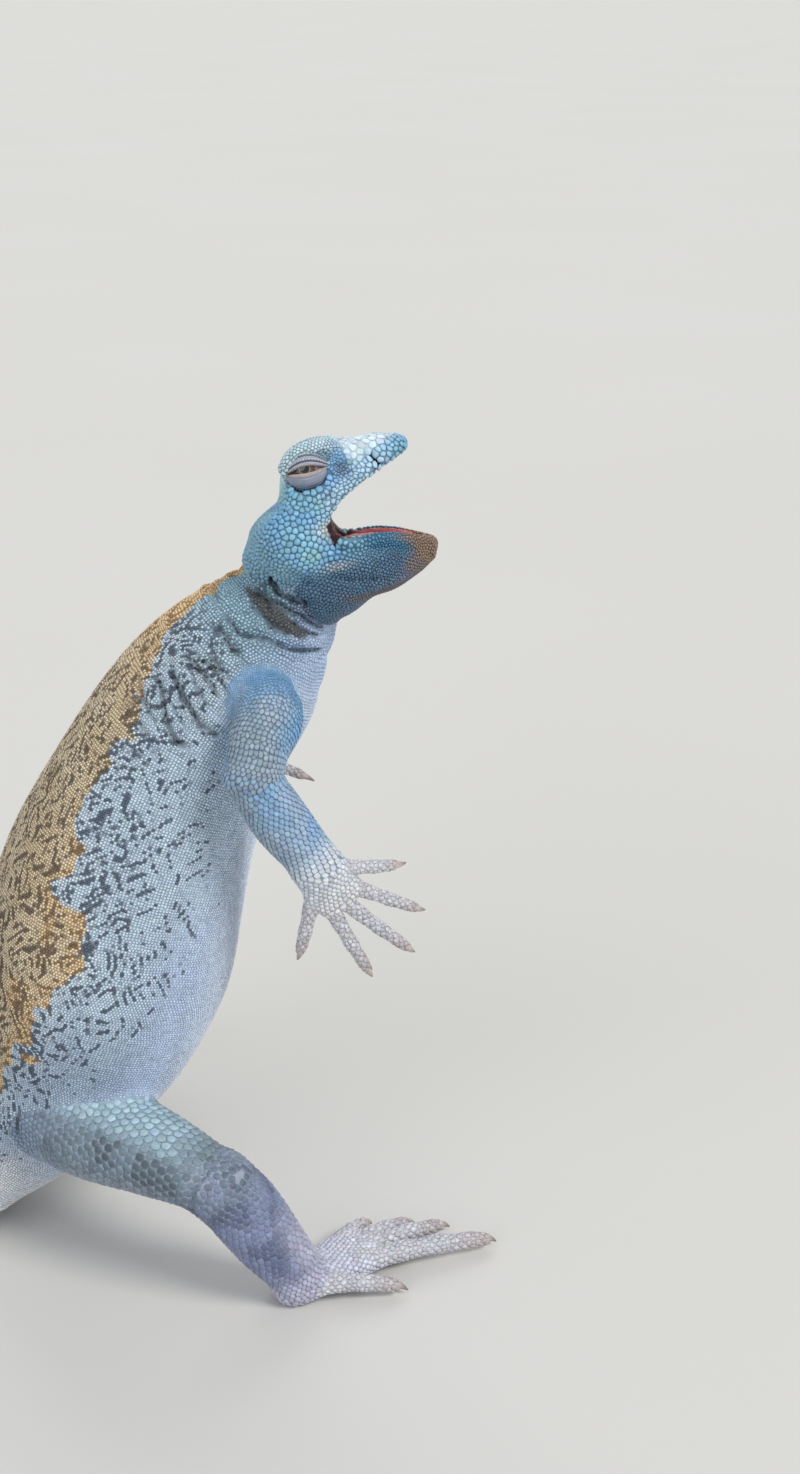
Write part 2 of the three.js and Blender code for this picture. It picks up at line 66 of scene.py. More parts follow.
# Head frame: u along the mouth line, w to the left, v up.
HEAD_AT, HEAD_PITCH, HEAD_ROLL = (93, 0, 149.2), math.radians(32.5), math.radians(14)
SKULL = [
    [-15, -3, 9, 4.4, 5.5], [-11.5, -2.4, 12.2, 6.3, 8.2], [-7.5, -1, 13.6, 6, 8.6], [-3.5, 1, 13, 4.9, 7],
    [0.5, 2.6, 11.8, 7.5, 4.6], [4.5, 3.4, 10.6, 7.8, 3.7], [8.5, 3.3, 9.3, 6.6, 3.3],
    [12.5, 3.1, 7.9, 4.6, 3], [16.2, 2.8, 6.4, 3.4, 2.6], [18.8, 2.4, 4.7, 2, 2],
]
BROW = [[-0.7, 8.8, 9.6, 1.8], [1.4, 9, 10.3, 2.1], [4.5, 8.5, 10.1, 2.1], [8, 7, 8.9, 1.8],
        [13, 4.9, 5.8, 1.2]]
UPPER_LIP = [[0.3, 11.4, -1.2], [4, 10.8, 0.3], [8.5, 9.3, 0.9], [12.5, 7.7, 1.1], [16.5, 5.7, 1.3],
             [19, 3.2, 1.5], [19.9, 0, 1.6]]
LOWER_LIP = [[1.2, 11.2, -7.4], [3.4, 10.5, -8.8], [6.4, 9.3, -10.2], [9.2, 7.7, -12], [11.8, 5.8, -14.6],
             [13.6, 3.2, -16.5], [14.2, 0, -17.2]]
JAW = [
    [-9, -10, 11.2, 6.5, 9], [-4, -11.6, 12.4, 7, 8.6], [1, -13, 12, 6.4, 6.8], [5, -14.4, 10.6, 5.3, 6.5],
    [8.5, -15.7, 8.9, 4.2, 5.5], [11.5, -17, 6.9, 2.9, 4], [13.5, -17.9, 4.8, 1.8, 2.5],
]
TONGUE = [[-3, -8.2, 4.4, 1.8, 1.8], [1, -9.4, 4.7, 1.9, 1.8], [5, -11.2, 4.2, 1.7, 1.7],
          [8.6, -13.2, 2.8, 1.3, 1.3]]
EYE = {"at": (2.5, 7.3, 7.5), "ball": 3.3, "lid": 4.3, "socket": 4.25, "tilt": math.radians(22)}
LID_HOLLOW = {"size": [3.9, 4, 3.45], "off": (-0.5, 2.6, -0.58)}  # room for the lower lid in the cheek
CHEEK = {"at": (-6.6, 10, -3), "size": (6.4, 3.6, 6), "pitch": 25}
NOSTRIL = {"at": (13.7, 6.9, 1.9), "size": (0.55, 1.8, 1.2), "pitch": -20}
EAR = {"at": (-14.2, 9.9, -6.4), "size": (0.5, 1.9, 1.7), "pitch": -15}
LIP_RADIUS = 1.05
FOLDS = [[0.62, 0.1, 0.07], [0.98, 0.11, 0.08], [1.36, 0.09, 0.07], [1.72, 0.04, 0.06]]
# Limb rows: x, distance from the middle plane, z, half width and half thickness.
LIMBS = {
    "right": {
        "arm": [[76.5, 11, 117.5, 6.3, 6.3], [80.4, 20, 116.6, 6.5, 6.3], [77.8, 26, 112, 5.9, 5.8],
                [76, 28, 106.8, 5.4, 5.3]],
        "forearm": [[75.7, 28, 107.6, 4.9, 4.8], [80.6, 28.5, 98.8, 5.5, 4.9], [85.2, 29.1, 92.2, 5, 4.2],
                    [88.4, 29.6, 88, 4.4, 3.2]],
        "thigh": [[32, 8, 31, 9.6, 9], [42, 20, 30.8, 10.6, 9.2], [54, 31, 30.4, 8.8, 7.8],
                  [62, 37.5, 29, 7.4, 6.2], [66.6, 41, 27, 6.4, 5.8]],
        "shin": [[66.2, 40.4, 28.6, 6.4, 6], [70.6, 41.2, 22.4, 7.1, 6.6], [75.4, 41.8, 14.8, 6.6, 6],
                 [79.4, 41.6, 8.4, 5.7, 5.2], [80.8, 41.2, 5.2, 5, 4.6]],
    },
    "left": {
        "arm": [[76.5, 12, 117.3, 6.3, 6.3], [79.3, 20, 116.4, 6.5, 6.3], [74.6, 26, 111.6, 5.9, 5.8],
                [70.6, 28, 106, 5.4, 5.3]],
        "forearm": [[70.2, 28, 106.7, 4.9, 4.8], [72.2, 28.8, 98.4, 5.5, 4.9], [75, 30, 91.6, 5, 4.2],
                    [77.2, 31, 87.2, 4.4, 3.2]],
        "thigh": [[32, 8, 31, 9.6, 9], [36, 21, 30.8, 10.4, 9.2], [40, 34, 30.4, 8.8, 7.8],
                  [42.4, 43.6, 29, 7.4, 6.2], [43, 48, 27.4, 6.4, 5.8]],
        "shin": [[43.2, 47.4, 28.8, 6.4, 6], [37.8, 47.4, 22.8, 7.1, 6.6], [31.2, 46, 15, 6.6, 6],
                 [25.6, 44.4, 8.6, 5.7, 5.2], [23.8, 43.8, 5.2, 5, 4.6]],
    },
}
# Digits: root along and across the palm, angle towards the first digit, length, radius.
HAND = {
    "palm": [[-2.2, 0, 4.2, 3], [2.6, -0.2, 5, 2.8], [6.8, -0.4, 4.9, 2.2]],
    "digits": [[1.6, 3.8, 46, 10.6, 1.45], [5.2, 2.6, 25, 15, 1.45], [6.6, -0.4, 9.8, 18, 1.5],
               [5, -2.8, -10, 18, 1.5], [2.4, -4, -48, 12.2, 1.5]],
    "rise": [0, 0.1, -0.5, -1.5],
}
FOOT = {
    "palm": [[0.6, 0, 4.6, 4], [6, 0.4, 5.3, 3.5], [14, 1.4, 6.2, 2.7], [19, 1.8, 5.6, 2]],
    "digits": [[12.5, 5.5, 28, 11.5, 1.75], [16.5, 4.4, 11, 14, 1.75], [18.5, 2.2, 3, 17.5, 1.8],
               [17.5, -1.4, -9, 24.8, 2.05], [4.5, -4, -22, 15.5, 1.9]],
    "rise": [0, 0.5, 0.1, -0.9],
}
CLAW = {"length": 3.2, "root": 0.95, "droop": {"finger": 1.4, "toe": 2.2}}
PLACES = {
    "hand_right": (HAND, [88.4, -29.7, 87], [0.6, 0, -0.8], [0, -1, 0.1], RIGHT, 1, 0),
    "hand_left": (HAND, [78.1, 31.2, 85.6], [0.26, 0.14, -0.96], [0, 1, 0.1], LEFT, 1.3, 0.12),
    "foot_right": (FOOT, [79, -40.5, 3.3], [0.951, 0.309, 0], [0, 0, 1], RIGHT, 1, 0),
    "foot_left": (FOOT, [23, 43.6, 3.3], [0.93, 0.36, 0], [0, 0, 1], LEFT, 1, 0),
}

# Sizes of the looks
COAT = 0.25  # depth of the scales over the skin
VOXEL = 0.6
FAR = 5.4  # distances are known this far from a surface
ABOVE_FLOOR = 0.03  # the lowest that a scale or spine comes
PATCH = 0.0015  # half the width of a scale's patch on the map that OFBake holds
LINING = 0.3  # what mouth_at gives at the edge of the bare lining
# Creases of loose skin, on both sides: station on the spine and degrees from the middle of the back; width
# and depth.
CREASES = [
    ([(2.16, 34), (2.2, 62), (2.35, 83)], 0.85, 1.3),
    ([(2.69, 74), (2.69, 92)], 0.8, 1.1),
    ([(1.8, 40), (1.95, 62), (2.08, 84)], 0.65, 0.9),
    ([(2.02, 36), (2.1, 58), (2.2, 80)], 0.65, 0.9),
    ([(2.6, 44), (2.72, 60), (2.88, 80)], 0.65, 0.8),
    ([(2.42, 34), (2.58, 63), (2.75, 86)], 0.85, 1.2),
    ([(2.28, 48), (2.4, 66), (2.52, 85)], 0.75, 0.9),
    ([(3.0, 40), (3.1, 56), (3.3, 74)], 0.8, 0.8),
    ([(1.55, 46), (1.72, 66), (1.9, 90)], 0.65, 0.8),
    ([(2.9, 96), (3.2, 106), (3.6, 116), (4, 118), (4.6, 112), (5.7, 112), (6.6, 117)], 2.6, 0.75),
]
# Folds of the neck and chest, on both sides: x and z; width, depth.
NECK_FOLDS = [
    ([(81.9, 139.7), (82.8, 137.5), (83.9, 136.1), (85.5, 135.1), (87.4, 134.2), (89.4, 134.4)], 0.95, 2.1),
    ([(78.8, 140.2), (81.1, 136.6), (84.3, 134.3), (87.3, 132.2), (90.2, 129.9), (92.5, 128.4),
      (94, 127.5)], 0.72, 1.8),
    ([(78.4, 137), (80, 136.2), (82.7, 134.1), (85.9, 131.3), (88.3, 128.6), (90.9, 127.3),
      (93.4, 126.6)], 0.72, 1.8),
    ([(77.6, 135.4), (79, 133.3), (81.1, 130.9), (83.4, 129.2), (87.2, 127.7)], 0.72, 1.8),
    ([(78.4, 135.6), (80.2, 134.2), (82, 132.4), (84.7, 130.2), (87.6, 128.3)], 1.8, 1.2),
    ([(73, 133.2), (75.2, 130.1), (76.5, 129.3), (79.8, 128.7), (82.9, 127.5), (85.6, 125.9), (88.5, 124.7),
      (92.1, 123.7), (94, 123.4)], 0.72, 1.9),
    ([(72.2, 135), (72.5, 133.1), (72.8, 131.5)], 0.7, 0.9),
    ([(69, 129.8), (71, 130.1), (72.9, 129.9), (73.7, 128.2), (75.2, 126.2), (76.3, 124.3)], 0.75, 1.1),
    ([(68.5, 125.9), (70.3, 123.9), (71.8, 121.5), (72.8, 119)], 0.75, 1.1),
    ([(66, 128.5), (69, 127.2), (71.5, 124.4), (73.6, 121.6)], 0.7, 0.8),
    ([(59.7, 123.4), (60.8, 119.6), (61.2, 115.5), (63.1, 111.4), (67.3, 108.4)], 0.8, 1.3),
    ([(56.5, 121.6), (57.2, 118.8), (59, 114.9), (60.5, 111)], 0.7, 0.9),
    ([(63, 124), (64.5, 119), (66, 114.5)], 0.7, 0.9),
]
# The dip behind the jaw, painted dark as the shade that lies deep in it: x, z and half width.
DIP = [(78.4, 135.8, 0.2), (80.2, 134.4, 0.8), (82, 132.6, 1.3), (84.7, 130.3, 1.3),
       (87.6, 128.3, 0.5), (89, 127.6, 0.1)]
# Folds of the legs: station on the thigh and turn round it on the right side; width, depth.
LEG_FOLDS = [
    ([(3.1, 90), (3.44, 60), (3.4, 31), (3.55, -2), (3.79, -29)], 0.8, 0.6),
    ([(0.5, 50), (0.44, 20), (0.44, -2), (0.56, -39)], 0.9, 0.9),
]
# Creases of the head, on both sides: u and v; width, depth.
HEAD_CREASES = [
    ([(-6.4, -10.2), (-3.6, -12.4), (0.6, -15.6), (5, -18)], 0.75, 0.75),
    ([(-5.4, -8.2), (-2.6, -9.2), (-0.2, -10.2)], 0.65, 0.45),
    ([(0.2, -3.4), (-0.9, -5.4), (-0.6, -7.6)], 0.6, 0.7),
    ([(1.8, -9.8), (5, -11.8), (8.4, -14), (11, -16.6)], 0.65, 0.5),
    ([(-10.4, -5.4), (-9.2, -9.4), (-7, -12.6)], 0.75, 0.45),
    ([(5.9, 9.4), (7.4, 7.2), (8.6, 4.6)], 0.8, 0.6),
    ([(10.4, 9.4), (10.6, 7.4), (10, 5)], 0.6, 0.4),
    ([(6.2, 6.4), (7.6, 4.8), (8.3, 2.9)], 0.55, 0.7),
    ([(5.6, 4.5), (7, 3.3), (8.8, 2.6)], 0.55, 0.6),
    ([(-3.2, 4.6), (-1.6, 2.4), (1, 1.4), (4, 1.8)], 0.55, 0.5),
]
# Where the orange of the back ends and the dark marks of the flank end: station, degrees from the middle.
BACK_EDGE = [[0, 16], [0.6, 18], [1.6, 22], [2.3, 29], [3, 38], [3.6, 40], [4.3, 50], [5, 60], [6.3, 60],
             [7.8, 52], [9.5, 46], [11, 60]]
SPOT_EDGE = [[0, 60], [1.6, 72], [2.5, 96], [3.7, 110], [4.5, 124], [5.2, 125], [5.8, 115],
             [6.6, 100], [8, 84]]


# Curves, noise and colour

def curve(points, t):
    """Points and slopes of the smooth curve through the rows, at places counted in rows."""
    p = np.asarray(points, float)
    p = np.vstack([2 * p[0] - p[1], p, 2 * p[-1] - p[-2]])
    t = np.clip(np.asarray(t, float), 0, len(p) - 3)
    i = np.minimum(t.astype(int), len(p) - 4)
    f = (t - i)[..., None]
    a, b, c, d = p[i], p[i + 1], p[i + 2], p[i + 3]
    k2, k3 = 2 * a - 5 * b + 4 * c - d, -a + 3 * b - 3 * c + d
    return 0.5 * (2 * b + (c - a) * f + k2 * f**2 + k3 * f**3), 0.5 * (c - a + 2 * k2 * f + 3 * k3 * f**2)


def unit(v):
    return v / np.maximum(np.linalg.norm(v, axis=-1, keepdims=True), 1e-9)


def bent(c, power):
    return np.sign(c) * np.abs(c) ** (2 / power)


def ease(low, high, x):
    f = np.clip((np.asarray(x, float) - low) / (high - low), 0, 1)
    return f * f * (3 - 2 * f)


def mix(a, b, f):
    f = np.asarray(f, float)[..., None]
    return np.asarray(a) * (1 - f) + np.asarray(b) * f


def rows_at(table, x):
    table = np.asarray(table, float)
    return np.interp(x, table[:, 0], table[:, 1])


def noise(p, size, seed=0):
    """A smooth field from about -1 to 1 that changes over the given size."""
    q = np.asarray(p, float) / size + 517.3 + 13.7 * seed
    i = np.floor(q).astype(np.int64)
    f = q - i
    f = f * f * (3 - 2 * f)
    total = np.zeros(len(q))
    for corner in product((0, 1), repeat=3):
        x, y, z = (i + corner).T
        h = (x * 73856093) ^ (y * 19349663) ^ (z * 83492791) ^ (seed * 2654435)
        h = ((h ^ (h >> 13)) * 1274126177) & 0xFFFFFFFF
        h = (h ^ (h >> 16)) & 0xFFFF
        weight = np.prod(np.where(corner, f, 1 - f), axis=1)
        total += weight * (h / 32767.5 - 1)
    return total * 1.5


def spot(*measures):
    """A soft spot, 1 at its middle, from triples of a measure, the middle's value and the width."""
    return np.exp(-sum(((x - at) / wide) ** 2 for x, at, wide in measures))


def rgb(r, g, b):
    """A colour given as 0 to 255 on screen, as linear light."""
    c = np.array([r, g, b]) / 255
    return np.where(c <= 0.04045, c / 12.92, ((c + 0.055) / 1.055) ** 2.4)


def painted(tint, *coats):
    """Lays colours over a tint in turn, each given as red, green, blue and the share that it covers."""
    for *colour, share in coats:
        tint = mix(tint, rgb(*colour), share)
    return tint


# Head frame

HEAD = (Matrix.Translation(HEAD_AT) @ Matrix.Rotation(-HEAD_PITCH, 4, "Y")
        @ Matrix.Rotation(-HEAD_ROLL, 4, "X"))
HEAD_TURN = np.array(HEAD.to_3x3())


def in_head(p):
    return np.asarray(p, float) @ HEAD_TURN.T + HEAD_AT


def to_head(p):
    return (np.asarray(p, float) - HEAD_AT) @ HEAD_TURN


def same(p):
    return p


def mirrored(at, s):
    """A place given for the left side, on side s."""
    return np.array(at) * (1, s, 1)


# Tubes and balls

def joined(*corners):
    """Faces from arrays of their first, second and further corners."""
    return np.stack(np.broadcast_arrays(*corners), -1).reshape(-1, len(corners))


def walls(rings, sides):
    """Corners of the quads between rings of points that follow one another."""
    i, j = np.meshgrid(np.arange(rings - 1), np.arange(sides), indexing="ij")
    a, b = i * sides + j, i * sides + (j + 1) % sides
    return a, b, b + sides, a + sides


class Tube:
    """An oval tube along a curve, as the solids have it."""

    def __init__(self, kind, rows, up, side=0, shape=2.2, blunt=0.8, swell=None, head=False, span=None):
        self.kind, self.side, self.shape, self.blunt, self.swell = kind, side, shape, blunt, swell
        self.rows = np.asarray(rows, float)
        self.up = np.asarray(up, float)
        self.place, self.back = (in_head, to_head) if head else (same, same)
        self.turn = HEAD_TURN if head else np.eye(3)
        self.span = span or (0, len(self.rows) - 1)
        samples = np.linspace(*self.span, 40 * len(self.rows))
        steps = np.linalg.norm(np.diff(curve(self.rows[:, :3], samples)[0], axis=0), axis=1)
        self.samples, self.arc = samples, np.append(0, np.cumsum(steps))

    def frames(self, t):
        centre, slope = curve(self.rows[:, :3], t)
        size = curve(self.rows[:, 3:], t)[0]
        ahead = unit(slope)
        side = unit(np.cross(ahead, self.up))
        return centre, ahead, side, unit(np.cross(side, ahead)), size

    def surface(self, t, angle, grow=0.0, shrink=1.0, forward=0.0):
        t, angle = np.broadcast_arrays(t, angle)
        centre, ahead, side, top, size = self.frames(t)
        k = shrink * (self.swell(t, angle) if self.swell else 1)
        c, s = np.cos(angle), np.sin(angle)
        a = bent(c, self.shape) * (size[..., 0] * k + grow * shrink)
        b = bent(s, self.shape) * (np.where(s > 0, size[..., 1], size[..., 2]) * k + grow * shrink)
        shift = ahead * np.broadcast_to(forward, t.shape)[..., None]
        return self.place(centre + shift + side * a[..., None] + top * b[..., None])

    def mesh(self, grow=0.0, step=1.2, sides=48):
        count = max(8, int(self.arc[-1] / step))
        first, last = self.span
        dome = np.radians([84, 66, 45, 22])
        reach = [min(curve(self.rows[:, 3:], t)[0]) * self.blunt + grow for t in self.span]
        t = np.concatenate([[first] * 4, np.linspace(first, last, count), [last] * 4])
        shrink = np.concatenate([np.cos(dome), np.ones(count), np.cos(dome[::-1])])
        forward = np.concatenate([-reach[0] * np.sin(dome), np.zeros(count), reach[1] * np.sin(dome[::-1])])
        angle = np.arange(sides) * 2 * np.pi / sides
        points = self.surface(t[:, None], angle[None, :], grow, shrink[:, None], forward[:, None])
        rings = len(t)
        points = np.vstack([points.reshape(-1, 3), points[0].mean(0), points[-1].mean(0)])
        a, b, c, d = walls(rings, sides)
        k, end = np.arange(sides), (rings - 1) * sides
        return points, np.vstack([
            joined(a, b, c), joined(a, c, d), joined(len(points) - 2, (k + 1) % sides, k),
            joined(len(points) - 1, end + k, end + (k + 1) % sides)])

    def locate(self, p):
        """Station and angle of points near the tube."""
        q = self.back(p)
        line = curve(self.rows[:, :3], self.samples)[0]
        blocks = np.array_split(q, len(q) // 4000 + 1)
        near = np.concatenate([((block[:, None] - line) ** 2).sum(-1).argmin(1) for block in blocks])
        t = self.samples[near]
        centre, ahead, side, top, size = self.frames(t)
        off = q - centre
        slope = np.linalg.norm(curve(self.rows[:, :3], t)[1], axis=1)
        t = np.clip(t + (off * ahead).sum(1) / np.maximum(slope, 1e-6), *self.span)
        a, b = (off * side).sum(1), (off * top).sum(1)
        b = b * size[:, 0] / np.where(b > 0, size[:, 1], size[:, 2])
        return t, np.arctan2(b, a)


def ball(size, at, pitch=0):
    """An ellipsoid in the head, nose down by the pitch in degrees, as points and triangles."""
    lat, lon = 24, 36
    a = np.linspace(0, np.pi, lat + 1)[1:-1]
    b = np.arange(lon) * 2 * np.pi / lon
    ring = np.stack([np.sin(a)[:, None] * np.cos(b), np.sin(a)[:, None] * np.sin(b),
                     np.cos(a)[:, None] * np.ones(lon)], -1).reshape(-1, 3)
    points = np.vstack([ring, [0, 0, 1], [0, 0, -1]]) * size
    points = points @ np.array(Matrix.Rotation(math.radians(pitch), 3, "Y")).T + at
    a, b, c, d = walls(lat - 1, lon)
    k, end = np.arange(lon), (lat - 2) * lon
    return in_head(points), np.vstack([
        joined(a, d, c), joined(a, c, b), joined(len(points) - 2, k, (k + 1) % lon),
        joined(len(points) - 1, end + (k + 1) % lon, end + k)])


def head_ball(form, s, grow=0.0):
    """The ball of a named form of the head, on side s."""
    return ball(np.array(form["size"]) + grow, mirrored(form["at"], s), form["pitch"])


def folded(t, angle):
    return 1 - 0.55 * sum(depth * spot((t, at, wide)) for at, depth, wide in FOLDS)


def slimmed(t, angle):
    return 1 - 0.13 * ease(9.6, 10.6, t) * (0.5 + 0.5 * np.sin(angle))


def knuckled(t, angle):
    return 1 + 0.1 * np.cos(2 * np.pi * (t - 0.1) / 0.85) * (0.6 + 0.4 * np.sin(angle))


def round_rows(rows):
    """Rows of a round tube, from ones that end with its radius."""
    return [[*row, row[-1], row[-1]] for row in rows]


def level_rows(rows):
    """Rows in the middle plane of the head, from ones that give no w."""
    return [[u, 0, *rest] for u, *rest in rows]


def paw(plan, at, axis, back, side, splay, curl):
    """Palm and digits of a hand or foot as rows, with its axes."""
    a = unit(np.array(axis, float))
    b = np.array(back, float)
    b = unit(b - a * (b @ a))
    across = np.cross(b, a) * -side

    def put(x, y, z):
        return np.array(at) + a * x + across * y + b * z

    palm = [[*put(x, y, 0), wide, thick, thick] for x, y, wide, thick in plan["palm"]]
    digits = []
    for x, y, angle, length, radius in plan["digits"]:
        turn = math.radians(angle * splay)
        rows = []
        for i, s in enumerate([-0.18, 0.3, 0.66, 1]):
            bend = plan["rise"][i] - curl * length * max(0, s) ** 2
            p = put(x + s * length * math.cos(turn), y + s * length * math.sin(turn), bend)
            rows.append([*p, radius * [1.2, 1, 0.94, 0.74][i]])
        digits.append(rows)
    return palm, digits, b


TRUNK = Tube("trunk", SPINE, BACK, swell=folded, span=(0, TRUNK_END))
TAIL = Tube("tail", SPINE, UP, shape=2.3, swell=slimmed, span=(TAIL_START, LAST))
SKULL_TUBE = Tube("skull", level_rows(SKULL), UP, shape=2.35, blunt=0.55, head=True)
JAW_TUBE = Tube("jaw", level_rows(JAW), UP, shape=2.5, blunt=0.6, head=True)
TONGUE_TUBE = Tube("tongue", level_rows(TONGUE), UP, head=True)
TUBES = [TRUNK, TAIL, SKULL_TUBE, JAW_TUBE]
# How far each form blends into those before it; "foot" is the sole's
BLENDS = {"trunk": 1, "tail": 2, "skull": 3, "jaw": 2.4, "arm": 3.2, "forearm": 1.6, "thigh": 4, "shin": 2.4,
          "palm": 3, "digit": 1.2, "foot": 4.6}
PAWS = {}
for name, side in SIDES.items():
    outward = np.array([0, side, 0.2])
    for kind, up in (("arm", [0.6, 0, 0.4]), ("forearm", outward), ("thigh", UP), ("shin", outward)):
        rows = [[x, side * y, z, w, h, h] for x, y, z, w, h in LIMBS[name][kind]]
        TUBES.append(Tube(kind, rows, up, side))
    for limb in ("hand", "foot"):
        palm, digits, b = paw(*PLACES[f"{limb}_{name}"])
        PAWS[f"{limb}_{name}"] = (digits, b)
        TUBES.append(Tube("palm", palm, b, side))
        TUBES[-1].limb = limb
        for rows in digits:
            TUBES.append(Tube("digit", round_rows(rows), b, side, shape=2, blunt=0.9, swell=knuckled))
            TUBES[-1].limb = limb
MOUTH_TAG, EAR_TAG = 60, 61


# Distance field of the skin

class Field:
    def __init__(self, low, high):
        self.low = np.floor(np.array(low) / VOXEL).astype(int)
        shape = np.ceil(np.array(high) / VOXEL).astype(int) - self.low + 1
        self.d = np.full(shape, FAR, np.float32)
        self.owner = np.zeros(shape, np.uint8)
        # fold holds how deep narrow grooves press in, and sets the painted shade in their bottoms
        self.fold = np.zeros(shape, np.float32)
        self.transform = openvdb.createLinearTransform(voxelSize=VOXEL)

    def window(self, low, high):
        lo = np.maximum(np.floor(np.array(low) / VOXEL).astype(int), self.low)
        hi = np.minimum(np.ceil(np.array(high) / VOXEL).astype(int) + 1, self.low + self.d.shape)
        return lo, tuple(slice(a, b) for a, b in zip(lo - self.low, hi - self.low))

    def part(self, mesh):
        points, faces = mesh
        lo, where = self.window(points.min(0) - FAR, points.max(0) + FAR)
        grid = openvdb.FloatGrid.createLevelSetFromPolygons(
            points.astype(np.float32), triangles=faces.astype(np.uint32),
            transform=self.transform, halfWidth=FAR / VOXEL)
        values = np.full(self.d[where].shape, FAR, np.float32)
        grid.copyToArray(values, ijk=tuple(int(i) for i in lo))
        return where, values

    def add(self, mesh, blend, tag=None):
        where, b = self.part(mesh)
        a = self.d[where]
        near = np.clip(blend - np.abs(a - b), 0, None) / blend
        near[np.minimum(a, b) > FAR * 0.8] = 0
        if tag is not None:
            self.owner[where][b < a] = tag
        self.d[where] = np.minimum(a, b) - near * near * blend * 0.25

    def cut(self, mesh, blend, tag=None):
        where, b = self.part(mesh)
        a = self.d[where]
        near = np.clip(blend - np.abs(a + b), 0, None) / blend
        near[np.maximum(a, -b) < -FAR * 0.8] = 0
        if tag is not None:
            self.owner[where][-b > a - 0.3] = tag
        self.d[where] = np.maximum(a, -b) + near * near * blend * 0.25

    def press(self, points, width, depth):
        """Presses a groove, shallow at its ends, into the surface along points that lie on it."""
        steps = np.append(0, np.cumsum(np.linalg.norm(np.diff(points, axis=0), axis=1)))
        places = np.linspace(0, steps[-1], int(steps[-1] / (0.5 * width)) + 2)
        points = np.stack([np.interp(places, steps, one) for one in points.T], -1)
        fade = 0.2 + 0.8 * ease(0, 0.3, 0.5 - np.abs(np.linspace(-0.5, 0.5, len(points))))
        inward = -unit(self.slope(points)) * fade[:, None]
        drops = np.arange(0, 0.8 * depth, 0.4)
        points, fade = np.vstack([points + inward * drop for drop in drops]), np.tile(fade, len(drops))
        reach = 3 * width
        lo, where = self.window(points.min(0) - reach, points.max(0) + reach)
        shape = self.d[where].shape
        axes = [(np.arange(n) + lo[i]) * VOXEL for i, n in enumerate(shape)]
        nearest, deep = np.full(shape, 1e6, np.float32), np.zeros(shape, np.float32)
        for (x, y, z), here in zip(points, fade):
            square = ((axes[0] - x) ** 2)[:, None, None] + ((axes[1] - y) ** 2)[None, :, None]
            square = square + ((axes[2] - z) ** 2)[None, None, :]
            closer = square < nearest
            nearest = np.where(closer, square, nearest)
            deep = np.where(closer, here, deep)
        depth = depth * deep
        groove = np.exp(-nearest / width**2)
        # Only narrow grooves mark fold, for the painted shade in their bottoms
        if width < 1.5:
            self.fold[where] = np.maximum(self.fold[where], groove * np.minimum(depth, 1))
        self.d[where] += depth * groove - 0.22 * depth * np.exp(
            -((np.sqrt(nearest) / width - 2.1) ** 2))

    def at(self, p, values=None):
        values = self.d if values is None else values
        q = np.clip(np.asarray(p) / VOXEL - self.low, 0, np.array(self.d.shape) - 1.001)
        i = q.astype(int)
        f = (q - i).astype(np.float32)
        total = 0
        for corner in product((0, 1), repeat=3):
            x, y, z = (i + corner).T
            total = total + values[x, y, z] * np.prod(np.where(corner, f, 1 - f), axis=1)
        return total

    def slope(self, p):
        h = VOXEL * 0.75
        return np.stack([(self.at(p + e) - self.at(p - e)) / (2 * h) for e in np.eye(3) * h], -1)

    def settle(self, p, times=4):
        """Moves points to the surface, and returns them with the way out."""
        p = np.array(p, float)
        for _ in range(times):
            g = self.slope(p)
            p -= g * (self.at(p) / np.maximum((g * g).sum(1), 0.2))[:, None]
        return p, unit(self.slope(p))

    def owners(self, p):
        i = np.clip(np.round(np.asarray(p) / VOXEL - self.low).astype(int), 0, np.array(self.d.shape) - 1)
        return self.owner[i[:, 0], i[:, 1], i[:, 2]]


def tag_of(tube):
    return TUBES.index(tube) + 1


def tube_parts(owner):
    """The tubes that own some of the points, each with its points' numbers."""
    for tube in TUBES:
        pick = np.flatnonzero(owner == tag_of(tube))
        if len(pick):
            yield tube, pick


def lip_tube(edge):
    both = edge + [[u, -w, v] for u, w, v in edge[-2::-1]]
    return Tube("lip", round_rows([[*row, LIP_RADIUS] for row in both]), UP, shape=2, blunt=0.9, head=True)


def brow_tube(s):
    return Tube("brow", round_rows([[u, s * w, v, r] for u, w, v, r in BROW]), UP, shape=2, head=True)


def build_field():
    field = Field((-124, -64, -6), (132, 74, 172))
    for tube in TUBES:
        sole = tube.kind == "palm" and tube.limb == "foot"
        sides = 64 if tube.kind in ("trunk", "skull", "jaw") else 32
        field.add(tube.mesh(-COAT, sides=sides), BLENDS["foot" if sole else tube.kind], tag_of(tube))
        if tube is SKULL_TUBE:
            add_head_forms(field)
        if tube is JAW_TUBE:
            field.add(lip_tube(LOWER_LIP).mesh(-COAT, step=0.6, sides=20), 2, tag_of(JAW_TUBE))
    carve_mouth(field)
    for s in (RIGHT, LEFT):
        carve_side(field, s)
        for line, width, depth in CREASES:
            t, phi = along_line(line)
            field.press(field.settle(TRUNK.surface(t, np.radians(90 - s * phi), -COAT))[0], width, depth)
        for line, width, depth in NECK_FOLDS:
            x, z = along_line(line)
            start = np.stack([x, np.full(len(x), s * 30.0), z], -1)
            field.press(met(field, start, np.array([0, -s, 0])), width, depth)
        thigh = next(tube for tube in TUBES if tube.kind == "thigh" and tube.side == s)
        for line, width, depth in LEG_FOLDS:
            t, turn = along_line(line)
            angle = np.radians(turn if s == RIGHT else 180 - turn)
            field.press(field.settle(thigh.surface(t, angle, -COAT))[0], width, depth)
    height = (np.arange(field.d.shape[2]) + field.low[2]) * VOXEL
    field.d = np.maximum(field.d, -height[None, None, :].astype(np.float32))
    return field


